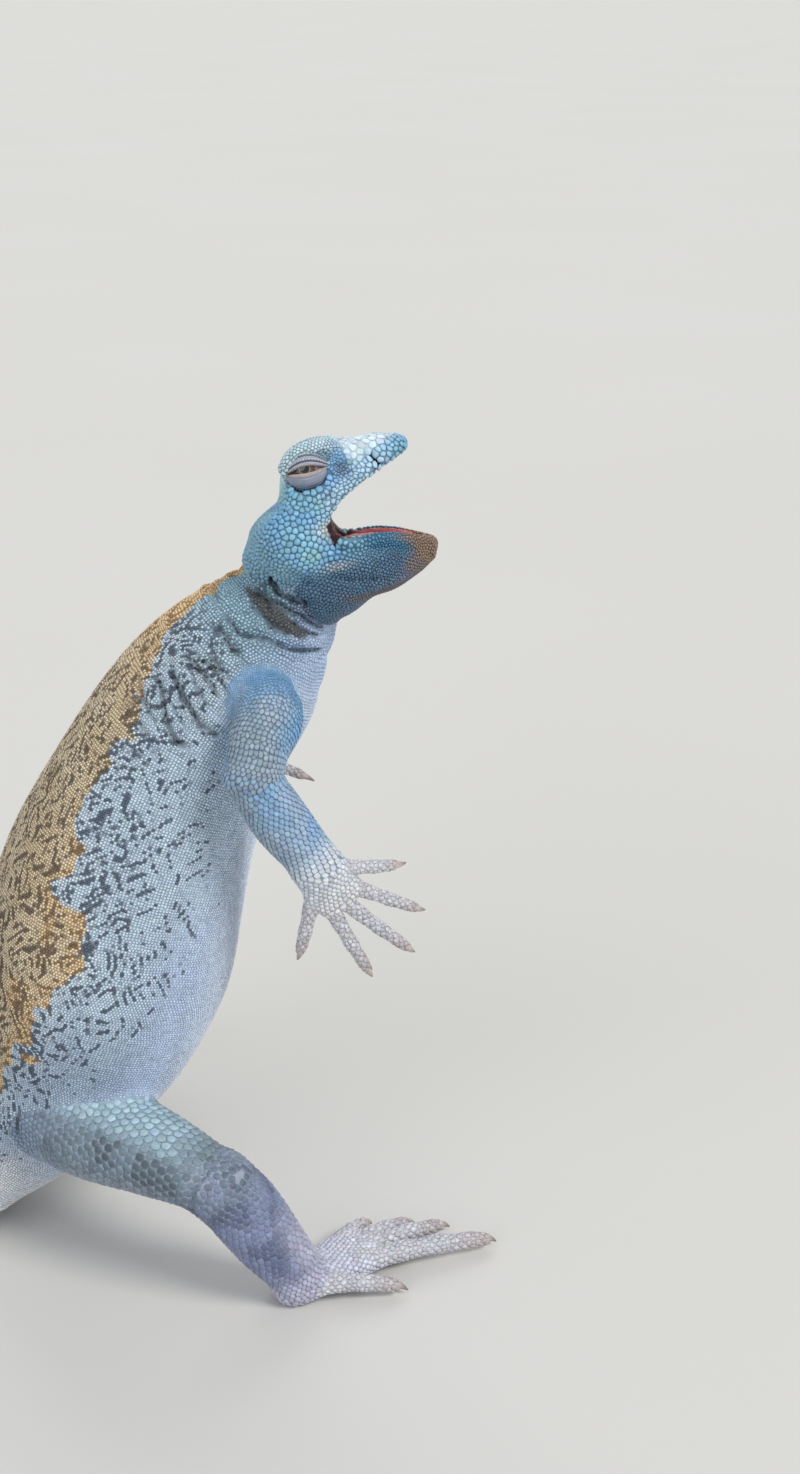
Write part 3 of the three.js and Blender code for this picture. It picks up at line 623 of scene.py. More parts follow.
def add_head_forms(field):
    tag = tag_of(SKULL_TUBE)
    for s in (RIGHT, LEFT):
        field.add(brow_tube(s).mesh(-COAT, step=0.8, sides=24), 1.6, tag)
        field.add(ball(EYE["lid"] - COAT, mirrored(EYE["at"], s)), 1.2, tag)
        field.add(head_ball(CHEEK, s, -COAT), 2.5, tag)
    field.add(lip_tube(UPPER_LIP).mesh(-COAT, step=0.6, sides=20), 2, tag)


# Insides of the mouth: u, height of the line, half width, height above and below it.
PALATE = [[-3, -1.6, 7, 2.4, 3], [1, -0.6, 8.2, 2.4, 3], [5, 0, 8.2, 2.2, 2.6], [9, 0.3, 7, 1.9, 2.2],
          [13, 0.6, 5.4, 1.3, 1.9], [16.6, 0.9, 3.4, 0.8, 1.6], [17.8, 1, 2.2, 0.5, 1.4]]
FLOOR = [[-3, -7.4, 7.5, 3, 2.2], [1, -8.2, 8.6, 3, 2.6], [4, -9.6, 8.2, 3, 2.6], [7, -11.2, 7, 2.6, 2.3],
         [9.8, -13, 5.4, 2.4, 1.9], [12, -15, 3.6, 2, 1.4], [13, -16.2, 2.2, 1.6, 1]]
THROAT = {"at": (-4.6, 0, -4.8), "size": (5.2, 6.4, 3.6), "pitch": 20}
# Skin between the jaws at the corner of the mouth, and the notch in its front
WEB = {"at": (-0.2, 8.7, -4.5), "size": (2.5, 2.5, 3.8), "pitch": 18,
       "notch": (2.9, 4, 3), "off": (3.4, 0, 0.2)}


def carve_mouth(field):
    before = field.d.copy()
    for rows in (PALATE, FLOOR):
        tube = Tube("mouth", level_rows(rows), UP, shape=2.4, blunt=0.7, head=True)
        field.cut(tube.mesh(step=0.7), 0.8, MOUTH_TAG)
    field.cut(head_ball(THROAT, LEFT), 1.2, MOUTH_TAG)
    field.mouth = ease(0.05, 0.35, field.d - before).astype(np.float32)
    for s in (RIGHT, LEFT):
        field.add(head_ball(WEB, s), 1, MOUTH_TAG)
        field.cut(ball(WEB["notch"], mirrored(WEB["at"], s) + WEB["off"], WEB["pitch"]), 0.8, MOUTH_TAG)


def mouth_at(field, p):
    """From 0 outside the mouth to 1 in it. Its lining starts on the inner side of the lips."""
    u, w, v = to_head(p).T
    inside = field.at(p, field.mouth)
    upper, lower = ([np.interp(u, [row[0] for row in edge], [row[i] for row in edge]) for i in (1, 2)]
                    for edge in (UPPER_LIP, LOWER_LIP))
    for (half, high), sign, first in ((upper, -1, UPPER_LIP[0][0]), (lower, 1, LOWER_LIP[0][0])):
        above = (v - high) * sign
        inner = ease(-0.1, -0.5, np.abs(w) - half) * (above > -0.6) * (above < 1.6) * (u > first)
        inside = np.maximum(inside, inner)
    half = np.where(v > (upper[1] + lower[1]) / 2, upper[0], lower[0])
    between = (np.abs(w) < half - 1.2) & (v < upper[1] + 1.5) & (v > lower[1] - 1.5) & (u > -9)
    return np.maximum(inside, between)


def along_line(line):
    return curve(line, np.linspace(0, len(line) - 1, 24 * len(line)))[0].T


def met(field, p, inward):
    """Where lines that start at points outside and run inward meet the surface."""
    for _ in range(50):
        p = p + inward * (0.8 * np.clip(field.at(p), -0.3, 2))[:, None]
    return p


def side_spots(field, u, v, s):
    """Where lines across the head at the given u and v meet its side."""
    u, v = np.broadcast_arrays(np.asarray(u, float), v)
    return met(field, in_head(np.stack([u, np.full(len(u), s * 16.0), v], -1)), -s * HEAD_TURN[:, 1])


def carve_side(field, s):
    at = mirrored(EYE["at"], s)
    field.cut(ball(EYE["socket"], at), 0.35)
    field.cut(ball(LID_HOLLOW["size"], at + mirrored(LID_HOLLOW["off"], s)), 0.5)
    field.cut(head_ball(NOSTRIL, s), 0.3, EAR_TAG)
    field.cut(head_ball(EAR, s), 0.4, EAR_TAG)
    for line, width, depth in HEAD_CREASES:
        u, v = along_line(line)
        field.press(side_spots(field, u, v, s), width, depth)


# Meshes

def place_points(mesh, points):
    mesh.vertices.foreach_set("co", (np.asarray(points, float) * MM).astype(np.float32).ravel())


def make_mesh(name, points, faces, counts=None):
    """An object from points in millimetres and faces: one array, or a row of corners with their counts."""
    if counts is None:
        counts = np.full(len(faces), faces.shape[1])
    corners = np.asarray(faces).ravel().astype(np.int32)
    mesh = bpy.data.meshes.new(name)
    mesh.vertices.add(len(points))
    place_points(mesh, points)
    mesh.loops.add(len(corners))
    mesh.loops.foreach_set("vertex_index", corners)
    mesh.polygons.add(len(counts))
    starts = np.append(0, np.cumsum(counts)[:-1]).astype(np.int32)
    mesh.polygons.foreach_set("loop_start", starts)
    mesh.polygons.foreach_set("use_smooth", np.ones(len(counts), bool))
    mesh.update(calc_edges=True)
    thing = bpy.data.objects.new(name, mesh)
    bpy.context.scene.collection.objects.link(thing)
    return thing


def set_tint(thing, colours):
    data = thing.data.attributes.new("tint", "FLOAT_COLOR", "POINT")
    full = np.ones((len(colours), 4), np.float32)
    full[:, :3] = colours
    data.data.foreach_set("color", full.ravel())


def set_value(thing, values, name):
    data = thing.data.attributes.new(name, "FLOAT", "POINT")
    data.data.foreach_set("value", np.asarray(values, np.float32))


def set_map(thing, places, corners):
    layer = thing.data.uv_layers.new(name="OFBake")
    layer.data.foreach_set("uv", places[corners].astype(np.float32).ravel())


def points_of(thing):
    co = np.zeros(len(thing.data.vertices) * 3, np.float32)
    thing.data.vertices.foreach_get("co", co)
    return co.reshape(-1, 3).astype(float) / MM


def finish_piece(thing, material, nodes=()):
    thing.data.materials.append(material)
    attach(thing, "root")
    if nodes:
        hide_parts(*nodes)
    return thing


def largest(points, quads):
    """Keeps the largest connected part of a mesh."""
    label = np.arange(len(points))
    edges = np.vstack([quads[:, [0, 1]], quads[:, [1, 2]], quads[:, [2, 3]], quads[:, [3, 0]]])
    while True:
        low = np.minimum(label[edges[:, 0]], label[edges[:, 1]])
        new = label.copy()
        np.minimum.at(new, edges[:, 0], low)
        np.minimum.at(new, edges[:, 1], low)
        new = new[new]
        if (new == label).all():
            break
        label = new
    main = np.bincount(label).argmax()
    keep = label == main
    index = np.cumsum(keep) - 1
    return points[keep], index[quads[keep[quads].all(1)]]


def build_skin(field):
    grid = openvdb.FloatGrid(FAR)
    grid.transform = field.transform
    grid.copyFromArray(field.d, ijk=tuple(int(i) for i in field.low))
    points, quads = grid.convertToQuads(0.0)
    points, quads = largest(points.astype(float), quads.astype(np.int64)[:, ::-1])
    skin = make_mesh("skin", points, quads)
    bm = bmesh.new()
    bm.from_mesh(skin.data)
    bm.verts.ensure_lookup_table()
    owner = field.owners(points)
    local = to_head(points)
    head = np.isin(owner, [tag_of(SKULL_TUBE), tag_of(JAW_TUBE), MOUTH_TAG, EAR_TAG]) & (local[:, 0] > -12)
    edges = [e for e in bm.edges if head[e.verts[0].index] and head[e.verts[1].index]]
    bmesh.ops.subdivide_edges(bm, edges=edges, cuts=1, use_grid_fill=True)
    bm.to_mesh(skin.data)
    bm.free()
    skin.data.polygons.foreach_set("use_smooth", np.ones(len(skin.data.polygons), bool))
    points = field.settle(points_of(skin), 2)[0]
    place_points(skin.data, points)
    skin.data.update()
    return skin


# Markings, with some painted light and shade, which the skin and the scales share. Each painter gives the
# colours of a scale and of its gap.

SPINE_LINE = Tube("spine", SPINE, BACK)


def off_middle(angle):
    """Degrees from the middle of the back or the top."""
    return np.degrees(np.abs((angle - np.pi / 2 + np.pi) % (2 * np.pi) - np.pi))


def paint_body(p, t, angle, tube):
    phi = off_middle(angle)
    arc = np.interp(t, SPINE_LINE.samples, SPINE_LINE.arc)
    girth = curve(SPINE[:, 3:], t)[0]
    side = np.sign(np.cos(angle)) * 40
    across = np.radians(phi) * (girth[:, 0] + girth[:, 1]) / 2
    edge = rows_at(BACK_EDGE, t) + 9 * noise(p, 7, 1) + 4 * noise(p, 2.4, 2)
    twist = off_middle(angle + np.radians(20) * ease(3, 0.8, t))
    back = ease(edge + 1.2, edge - 1.2, twist)
    spots = rows_at(SPOT_EDGE, t)

    # Dark marks: short broken strings, one scale wide, aslant both ways, and wavy ones that join them
    swirl = 1.2 * noise(p, 2.6, 22)
    ways = []
    for lean, seed in ((0.6, 3), (-0.75, 4)):
        x, y = arc * math.cos(lean) + across * math.sin(lean), across * math.cos(lean) - arc * math.sin(lean)
        stripes = np.cos(2 * np.pi * y / 1.7 + 2.8 * swirl)
        ways.append(stripes + 1.0 * noise(np.stack([x / 1.9, y / 0.9, side], -1), 1, seed))
    patches = ease(-0.2, 0.2, noise(p, 2.8, 24))
    wavy = 0.95 - 5 * np.abs(noise(p, 2.3, 23))
    marks = np.maximum(ways[0] * patches + ways[1] * (1 - patches), wavy)
    fade = np.clip((phi - edge) / np.maximum(spots - edge, 5), 0, 1.5)
    dark_flank = ease(-0.15, 0.25, marks - 0.5 - 1.1 * fade**2) * ease(10.5, 9, t) * ease(1.1, 2, t)
    dark_back = ease(-0.2, 0.35, marks + 0.3 * noise(p, 0.9, 5) - 0.5) * ease(10.6, 9.6, t)

    warm = np.clip(ease(3.2, 1.4, t) + 0.6 * ease(11, 2, edge - phi) * ease(3.8, 4.6, t), 0, 1)
    tan = mix(rgb(238, 222, 192), rgb(230, 210, 174), 0.5 + 0.5 * noise(p, 5, 7))
    tan = painted(tan, (250, 214, 160, warm))
    brown = mix(rgb(112, 98, 84), rgb(164, 126, 84), warm)
    orange = mix(tan, brown, dark_back)

    pale = mix(rgb(212, 230, 242), rgb(222, 236, 246), ease(edge + 22, edge, phi))
    lavender = ease(85, 118, phi) * ease(3.8, 5.6, t) * ease(150, 125, phi)
    groin = ease(5.6, 7, t) * ease(40, 80, phi) * ease(125, 95, phi)
    # The last coat is painted light: it whitens the flank by the hips, where belly and thigh shade it
    pale = painted(pale, (196, 212, 240, 0.85 * lavender), (222, 232, 246, ease(118, 150, phi)),
                   (150, 166, 192, 0.6 * groin), (254, 255, 255, ease(8.1, 9.1, t) * ease(60, 90, phi)))
    neck = ease(2.3, 1.3, t)
    pale = mix(pale, mix(rgb(172, 208, 226), rgb(184, 206, 236), ease(60, 110, phi)), neck)
    # Painted shade: the deep dip behind the jaw takes a dark brown-grey
    dip = curve(DIP, np.linspace(0, len(DIP) - 1, 40))[0]
    reach = np.hypot(p[:, :1] - dip[:, 0], p[:, 2:] - dip[:, 1]) - dip[:, 2]
    valley_shade = ease(0.5, -0.1, reach.min(1)) * (t < 2)
    shoulder = ease(1.9, 2.3, t) * ease(3, 2.5, t) * ease(80, 100, phi)
    flank = painted(pale, (98, 92, 86, 0.92 * valley_shade), (150, 186, 216, 0.7 * shoulder),
                    (66, 76, 94, 0.92 * dark_flank))
    tint = mix(flank, orange, back)

    tail = ease(9.3, 10.6, t)
    above = mix(rgb(170, 164, 156), rgb(206, 180, 138), ease(-0.1, 0.5, noise(p, 6, 8)))
    below = mix(rgb(232, 242, 252), rgb(232, 236, 244), ease(120, 170, phi))
    tint = mix(tint, mix(above, below, ease(62, 100, phi + 8 * noise(p, 5, 9))), tail)
    gap = mix(mix(rgb(104, 122, 144), rgb(100, 80, 62), back), rgb(168, 182, 206), ease(95, 125, phi))
    gap = painted(gap, (36, 54, 72, 0.85 * ease(2.7, 1.7, t) * ease(120, 80, phi) * (1 - back)))
    # Gaps in the dip's painted shade are darker still
    gap = mix(gap, tint * 0.4, 0.7 * valley_shade)
    gap = mix(gap, tint * 0.85, 0.8 * (dark_flank * (1 - back) + dark_back * back))
    gap = mix(gap, tint * 0.55, tail)
    return tint, gap


def paint_head(p, t, angle, tube):
    u, _, v = to_head(p).T
    jaw = tube.kind == "jaw"
    patch = noise(p, 4, 11)
    tint = mix(rgb(130, 182, 208), rgb(146, 192, 200), ease(0, 0.7, patch))
    tint = painted(tint, (116, 170, 214, ease(0, 0.7, -noise(p, 3.4, 12)) * 0.7))
    low = ease(-8, -14, v + 0.25 * u + patch)
    tint = mix(tint, mix(rgb(88, 122, 150), rgb(104, 118, 142), ease(-0.2, 0.5, patch)), low)
    dark = 0.4
    if jaw:
        lip = ease(-3.4, -1.4, v - np.interp(u, [1, 6, 12], [-7.6, -10, -15])) * ease(3, 5, u)
        chin = 0.95 * ease(7.2, 11.5, u + 1.6 * patch) * ease(-10.5, -13.5, v)
        throat = ease(-16, -20, v)
        tint = painted(tint, (66, 124, 160, 0.85 * lip), (156, 128, 104, chin),
                       (128, 142, 164, 0.7 * throat * ease(9, 7, u)))
        snout_highlight = 0
    else:
        # Painted highlight: the top of the snout and the crown are painted paler, as light from above falls
        # on them
        snout_highlight = ease(9, 11.4, u + patch) * ease(2.4, 5, v)
        crown_light = ease(5.5, 9.5, v) * ease(11, 8, u)
        lip = ease(3.6, 1.6, v - np.interp(u, [0, 4, 12, 19], [-1, 0.3, 1.1, 1.5])) * ease(0, 3, u)
        blue = spot((u, 5.2, 3), (v, 3.4, 1.1))
        # Painted shade: a dark spot in the hollow in front of the eye
        hollow = spot((u, 7.8, 1.7), (v, 4.2, 1.6))
        tint = painted(tint, (212, 226, 234, 0.9 * snout_highlight), (196, 216, 224, 0.85 * crown_light),
                       (176, 206, 230, 0.85 * lip * ease(19, 14, u)), (128, 178, 226, 0.6 * blue),
                       (88, 92, 114, 0.75 * hollow), (126, 164, 184, 0.7 * ease(-8, -12, u)))
        dark = 0.4 + 0.12 * crown_light
    bare = spot((u, -2.8, 2.6), (v + 10.1 + 0.35 * (u + 2.8), 0, 0.8))
    corner = np.exp(-((u + 0.6) ** 2 + (v + 3.4) ** 2) / 3.5)
    line = np.interp(u, [-6, -3.6, 0.6, 5, 9], [-15.6, -17.2, -19, -20.2, -20.8])
    seam = ease(1.2, 0.3, np.abs(v - line)) * jaw
    tint = painted(tint, (196, 188, 188, 0.6 * bare), (208, 210, 200, 0.8 * corner),
                   (122, 106, 96, 0.75 * seam * ease(-6, -3, u)))
    gap = painted(tint * np.reshape(dark, (-1, 1)), (58, 86, 108, 0.5), (20, 28, 44, 0.85 * low))
    # Gaps on the snout take its painted highlight
    return tint, mix(gap, tint * 0.8, snout_highlight + np.zeros(len(u)))


def paint_arm(p, t, angle, tube):
    forearm = tube.kind == "forearm"
    far = t + 2.4 if forearm else t
    outer = ease(0.2, -0.8, to_side(angle, tube))
    tint = mix(rgb(124, 170, 210), rgb(144, 162, 176), ease(0.7, 1.9, far) * outer)
    tint = painted(tint, (140, 170, 202, 0.8 * ease(2.6, 3.2, far) * (1 - 0.5 * outer)),
                   (208, 215, 224, ease(4, 5.2, far)), (182, 186, 192, 0.3 * ease(0, 0.8, noise(p, 5, 14))))
    return tint, mix(tint * 0.5, rgb(92, 116, 142), 0.55)


def to_side(angle, tube):
    """From 1 at the front of a limb to -1 at its back."""
    return np.cos(angle) * tube.side


def paint_leg(p, t, angle, tube):
    thigh = tube.kind == "thigh"
    far = t if thigh else t + 3.6
    front = to_side(angle, tube) if not thigh else 0 * t
    phi = off_middle(angle) if thigh else 90 - 40 * front
    fine = ease(-0.4, 0.4, noise(p, 4, 15))
    upper = mix(rgb(80, 94, 106), rgb(108, 124, 138), fine)
    lower = mix(rgb(92, 102, 132), rgb(122, 133, 163), fine)
    knee = ease(2.9, 4.8, far)
    upper = painted(upper, (136, 146, 160, 0.7 * ease(90, 120, phi) * ease(3.2, 2.6, far)))
    top = ease(60, 26, phi) * ease(3.5, 2.2, far)
    cap = spot((far, 3.5, 0.7)) * ease(85, 45, phi)
    pale = ease(0, 0.8, front) * ease(4.6, 6, far)
    root = ease(1.3, 0.3, far)
    ankle = ease(5.8, 7.6, far)
    tint = painted(mix(upper, lower, knee), (176, 202, 214, 0.9 * top), (176, 182, 184, 0.1 * cap),
                   (182, 180, 194, ease(120, 155, phi)), (186, 184, 200, 0.7 * pale),
                   (140, 156, 180, 0.8 * root), (184, 184, 204, ankle))
    gap = mix(rgb(190, 200, 210), rgb(180, 184, 210), knee)
    return tint, painted(gap, (120, 144, 162, 0.8 * top), (92, 108, 128, 0.8 * root), (140, 142, 170, ankle))


def paint_paw(p, t, angle, tube):
    if tube.limb == "hand":
        tint = mix(rgb(204, 212, 222), rgb(216, 216, 218), ease(0, 2, t))
        gap = rgb(196, 199, 208)
    else:
        tint = mix(rgb(196, 198, 214), rgb(216, 218, 228), ease(0.5, 3, t))
        gap = rgb(164, 165, 186)
    if tube.kind == "digit":
        tint = mix(rgb(200, 200, 206), rgb(186, 174, 172), ease(1.8, 3, t))
        gap = painted(gap, (202, 198, 202, 0.7))
    return tint, np.broadcast_to(gap, tint.shape)


PAINTERS = {"trunk": paint_body, "tail": paint_body, "skull": paint_head, "jaw": paint_head,
            "arm": paint_arm, "forearm": paint_arm, "thigh": paint_leg, "shin": paint_leg,
            "palm": paint_paw, "digit": paint_paw}


def paint(p, owner):
    tint, gap = np.zeros((len(p), 3)), np.zeros((len(p), 3))
    station, turn = np.zeros(len(p)), np.zeros(len(p))
    for tube, pick in tube_parts(owner):
        t, angle = tube.locate(p[pick])
        station[pick], turn[pick] = t, angle
        tint[pick], gap[pick] = PAINTERS[tube.kind](p[pick], t, angle, tube)
    return tint, gap, station, turn


# Scales

PITCH = {"trunk": 0.63, "tail": 1.1, "skull": 1.3, "jaw": 0.8, "arm": 0.98, "forearm": 1.12, "thigh": 1.9,
         "shin": 1.45, "palm": 1, "digit": 0.95}


def pitch_on(tube, t):
    """Distance between scales at stations on a tube."""
    t = np.asarray(t, float)
    pitch = PITCH[tube.kind] * np.ones_like(t)
    if tube.kind == "trunk":
        pitch *= 1.2 - 0.2 * ease(1.3, 2.3, t)
    if tube.kind == "thigh":
        pitch *= (0.5 + 0.5 * ease(0.4, 1.5, t)) * (1 - 0.24 * ease(2.4, 4, t))
    if tube.kind == "shin":
        pitch *= 1 - 0.3 * ease(1.6, 4, t)
    if tube.kind == "arm":
        pitch *= 0.5 + 0.5 * ease(0.6, 1.5, t)
    if tube.kind == "tail":
        pitch *= 1 - 0.3 * ease(11, 15, t)
    if tube.kind in ("palm", "digit") and tube.limb == "foot":
        pitch *= 1.12
    return pitch


def head_pitch(p):
    """Distance between scales at points of the head."""
    u, _, v = to_head(p).T

    def blend(pitch, other, where):
        return pitch + (other - pitch) * where

    pitch = blend(1.16, 0.82, ease(-7, -11, u))
    pitch = blend(pitch, 0.82, ease(5, 7, v) * ease(11, 8, u))
    pitch = blend(pitch, 1.55, ease(9, 10.6, u) * ease(2.6, 4, v))
    pitch = blend(pitch, 0.8, ease(3, 4.5, u) * ease(12, 10, u) * ease(4.5, 3.5, v))
    pitch = blend(pitch, 0.55, ease(5.6, 6.3, u) * ease(9.8, 9, u) * ease(2, 3, v) * ease(8.4, 7.4, v))
    pitch = blend(pitch, 0.66, ease(3, 1.6, np.hypot(u - 0.2, v + 3)))
    pitch = blend(pitch, 0.6, ease(-8, -11, v + 0.25 * u))
    return blend(pitch, 0.55, ease(4, 7, u) * ease(-9, -11, v))


def tree_of(p):
    tree = kdtree.KDTree(len(p))
    for i, q in enumerate(p):
        tree.insert(q, i)
    tree.balance()
    return tree


def thinned(p, reach):
    """Which points stay when each, in turn, clears the later ones within its own reach."""
    tree = tree_of(p)
    gone = np.zeros(len(p), bool)
    for i, q in enumerate(p):
        if not gone[i]:
            for _, j, _ in tree.find_range(q, reach[i]):
                if j > i:
                    gone[j] = True
    return ~gone


def ring_roots(field, tube):
    """Roots in rings round a tube, each ring shifted by half a scale."""
    t, k, rows = TRUNK_END - 0.05 if tube.kind == "tail" else tube.span[0], 0, []
    around = np.linspace(0, 2 * np.pi, 181)
    while t < tube.span[1]:
        pitch = float(pitch_on(tube, t))
        ring = tube.surface(np.full(181, t), around, -COAT)
        length = np.append(0, np.cumsum(np.linalg.norm(np.diff(ring, axis=0), axis=1)))
        count = max(5, round(length[-1] / (pitch * (1.5 if tube.kind == "digit" else 1))))
        places = (np.arange(count) + 0.5 * (k % 2) + 0.25) / count * length[-1]
        angle = np.interp(places % length[-1], length, around)
        rows.append(np.stack([np.full(count, t), angle, np.full(count, pitch)], -1))
        slope = np.linalg.norm(curve(tube.rows[:, :3], t)[1])
        t, k = t + 0.85 * pitch / slope, k + 1
    t, angle, pitch = np.vstack(rows).T
    step = tube.arc[-1] / (tube.span[1] - tube.span[0])
    sway = 0.16 * noise(tube.surface(t, angle), 2.6, 17) + rng.normal(0, 0.07, len(t))
    t = t + sway * pitch / step
    start = tube.surface(t, angle, -COAT)
    ahead = unit(tube.surface(t + 0.02, angle, -COAT) - tube.surface(t - 0.02, angle, -COAT))
    if tube.kind == "jaw":
        ahead = -ahead
    root, out = field.settle(start)
    keep = (np.linalg.norm(root - start, axis=1) < 2.6) & (np.abs(field.at(root)) < 0.15)
    keep &= np.isin(field.owners(root), [tag_of(one) for one in TUBES if one.kind == tube.kind])
    return root[keep], out[keep], ahead[keep], pitch[keep]


LIP_ROWS = [(8, 0), (50, 0), (80, 0.85)]  # degrees above the outside of the lip, and how far off its roll


def head_rows(field):
    """Roots that lie in rows on the head: along the lips, over the brows and under the eyes."""
    spots, ways, sizes = [], [], []
    for edge, sign, pitch in ((UPPER_LIP, 1, 1.75), (LOWER_LIP, -1, 1.4)):
        tube = lip_tube(edge)
        for k, (lift, grow) in enumerate(LIP_ROWS):
            arc = np.arange(0.4 + 0.5 * pitch * (k % 2), tube.arc[-1] - 0.4, pitch)
            t = np.interp(arc, tube.arc, tube.samples)
            angle = math.pi - math.radians(sign * lift)
            spots.append(tube.surface(t, angle, grow - COAT))
            ways.append(unit(tube.surface(t + 0.02, angle) - tube.surface(t - 0.02, angle)))
            sizes.append(np.full(len(t), pitch * 1.05))
    for s in (RIGHT, LEFT):
        tube = brow_tube(s)
        for k, turn in enumerate(np.radians(np.arange(-12, 104, 17.5))):
            arc = np.arange(0.2 + 0.3 * (k % 2), tube.arc[-1] * 0.8, 0.66)
            t = np.interp(arc, tube.arc, tube.samples)
            angle = turn if s == RIGHT else math.pi - turn
            spots.append(tube.surface(t, angle, -COAT))
            ways.append(unit(tube.surface(t - 0.02, angle) - tube.surface(t + 0.02, angle)))
            sizes.append(np.full(len(t), 0.68))
        for reach, first, last, pitch in ((5.35, -176, -46, 1.75), (7.1, -168, -58, 1.8)):
            turn = np.radians(np.arange(first, last, math.degrees(pitch / reach)))
            u, v = EYE["at"][0] + reach * np.cos(turn), EYE["at"][2] + reach * np.sin(turn)
            spots.append(side_spots(field, u, v, s))
            ways.append(unit(np.stack([np.cos(turn), 0 * turn, np.sin(turn)], -1)) @ HEAD_TURN.T)
            sizes.append(np.full(len(turn), pitch))
    start, way, size = np.vstack(spots), np.vstack(ways), np.concatenate(sizes)
    root, out = field.settle(start)
    keep = (np.linalg.norm(root - start, axis=1) < 1.2) & may_carry_scales(field, root)
    root, out, way, size = root[keep], out[keep], way[keep], size[keep]
    keep = thinned(root, 0.62 * np.minimum(size, 1.2))
    return root[keep], out[keep], way[keep], size[keep]


def may_carry_scales(field, p):
    """Whether points of the head lie off the mouth's lining and out of the eyes."""
    return (mouth_at(field, p) < LINING) & ~in_eye(to_head(p))


def in_eye(local):
    """Whether points of the head's frame lie inside an eye's socket."""
    off = local * [1, 0, 1] + np.abs(local) * [0, 1, 0] - np.array(EYE["at"])
    hollow = np.linalg.norm((off - LID_HOLLOW["off"]) / LID_HOLLOW["size"], axis=1) < 1.04
    return (np.linalg.norm(off, axis=1) < EYE["socket"] + 0.12) | hollow


def spread_roots(skin, taken, wanted, size_of, seed, tries):
    """Random roots a pitch apart on the part of the skin that is wanted, clear of those already taken."""
    draw = np.random.default_rng(seed)
    mesh = skin.data
    mesh.calc_loop_triangles()
    corners = np.zeros(len(mesh.loop_triangles) * 3, np.int32)
    mesh.loop_triangles.foreach_get("vertices", corners)
    corners = corners.reshape(-1, 3)
    points = points_of(skin)
    corners = corners[wanted[corners].all(1)]
    a, b, c = points[corners[:, 0]], points[corners[:, 1]], points[corners[:, 2]]
    area = np.linalg.norm(np.cross(b - a, c - a), axis=1)
    pick = draw.choice(len(corners), tries, p=area / area.sum())
    x, y = draw.random((2, tries))
    flip = x + y > 1
    x, y = np.where(flip, 1 - x, x)[:, None], np.where(flip, 1 - y, y)[:, None]
    spots = a[pick] + x * (b[pick] - a[pick]) + y * (c[pick] - a[pick])
    size = size_of(spots)
    if len(taken):
        tree = tree_of(taken)
        clear = np.array([tree.find(q)[2] for q in spots]) > 0.7 * size
        spots, size = spots[clear], size[clear]
    keep = thinned(spots, size * 0.82)
    return spots[keep], size[keep]


def relax(field, p, size, fixed, times=3):
    """Evens out random roots by pushing neighbours apart along the skin."""
    for _ in range(times):
        everything = np.vstack([p, fixed])
        tree = tree_of(everything)
        near = np.array([[j for _, j, _ in tree.find_n(q, 8)] for q in p])
        away = p[:, None] - everything[near]
        gap = np.linalg.norm(away, axis=2)
        push = np.clip(1.06 * size[:, None] - gap, 0, None) * (gap > 1e-6)
        p = p + 0.35 * (away / np.maximum(gap, 1e-6)[..., None] * push[..., None]).sum(1)
        p, out = field.settle(p, 2)
    return p, out


def outlines(p, out, ahead, pick, sides, reach):
    """Radii of each picked root's patch of skin, half way to its neighbours, in equal turns from the lay."""
    tree = tree_of(p)
    near = np.array([[j for _, j, _ in tree.find_n(q, 13)] for q in p[pick]])[:, 1:]
    off = p[near] - p[pick][:, None]
    own = out[pick]
    facing = (out[near] * own[:, None]).sum(2) > -0.2
    ahead = unit(ahead[pick] - own * (ahead[pick] * own).sum(1)[:, None])
    across = np.cross(own, ahead)
    x, y = (off * ahead[:, None]).sum(2), (off * across[:, None]).sum(2)
    length = np.maximum(np.hypot(x, y), 1e-3)
    turns = np.arange(sides) * 2 * np.pi / sides
    toward = (x[..., None] * np.cos(turns) + y[..., None] * np.sin(turns)) / length[..., None]
    radius = length[..., None] / 2 / np.maximum(toward, 0.05)
    radius = np.where((toward > 0.05) & facing[..., None], radius, 9).min(1)
    return np.minimum(radius, reach[pick][:, None]), ahead, across


# Rings of a scale: width, height, share of its own colour, gloss
LOW = [(0.99, -0.25, 0.25, 0), (0.8, 0.8, 0.95, 0.8)]
FINE = [(1.0, -0.05, 0.68, 0.4)]
FULL = [(0.99, -0.25, 0.1, 0), (0.92, 0.42, 0.75, 0.5), (0.66, 0.9, 1, 0.9)]


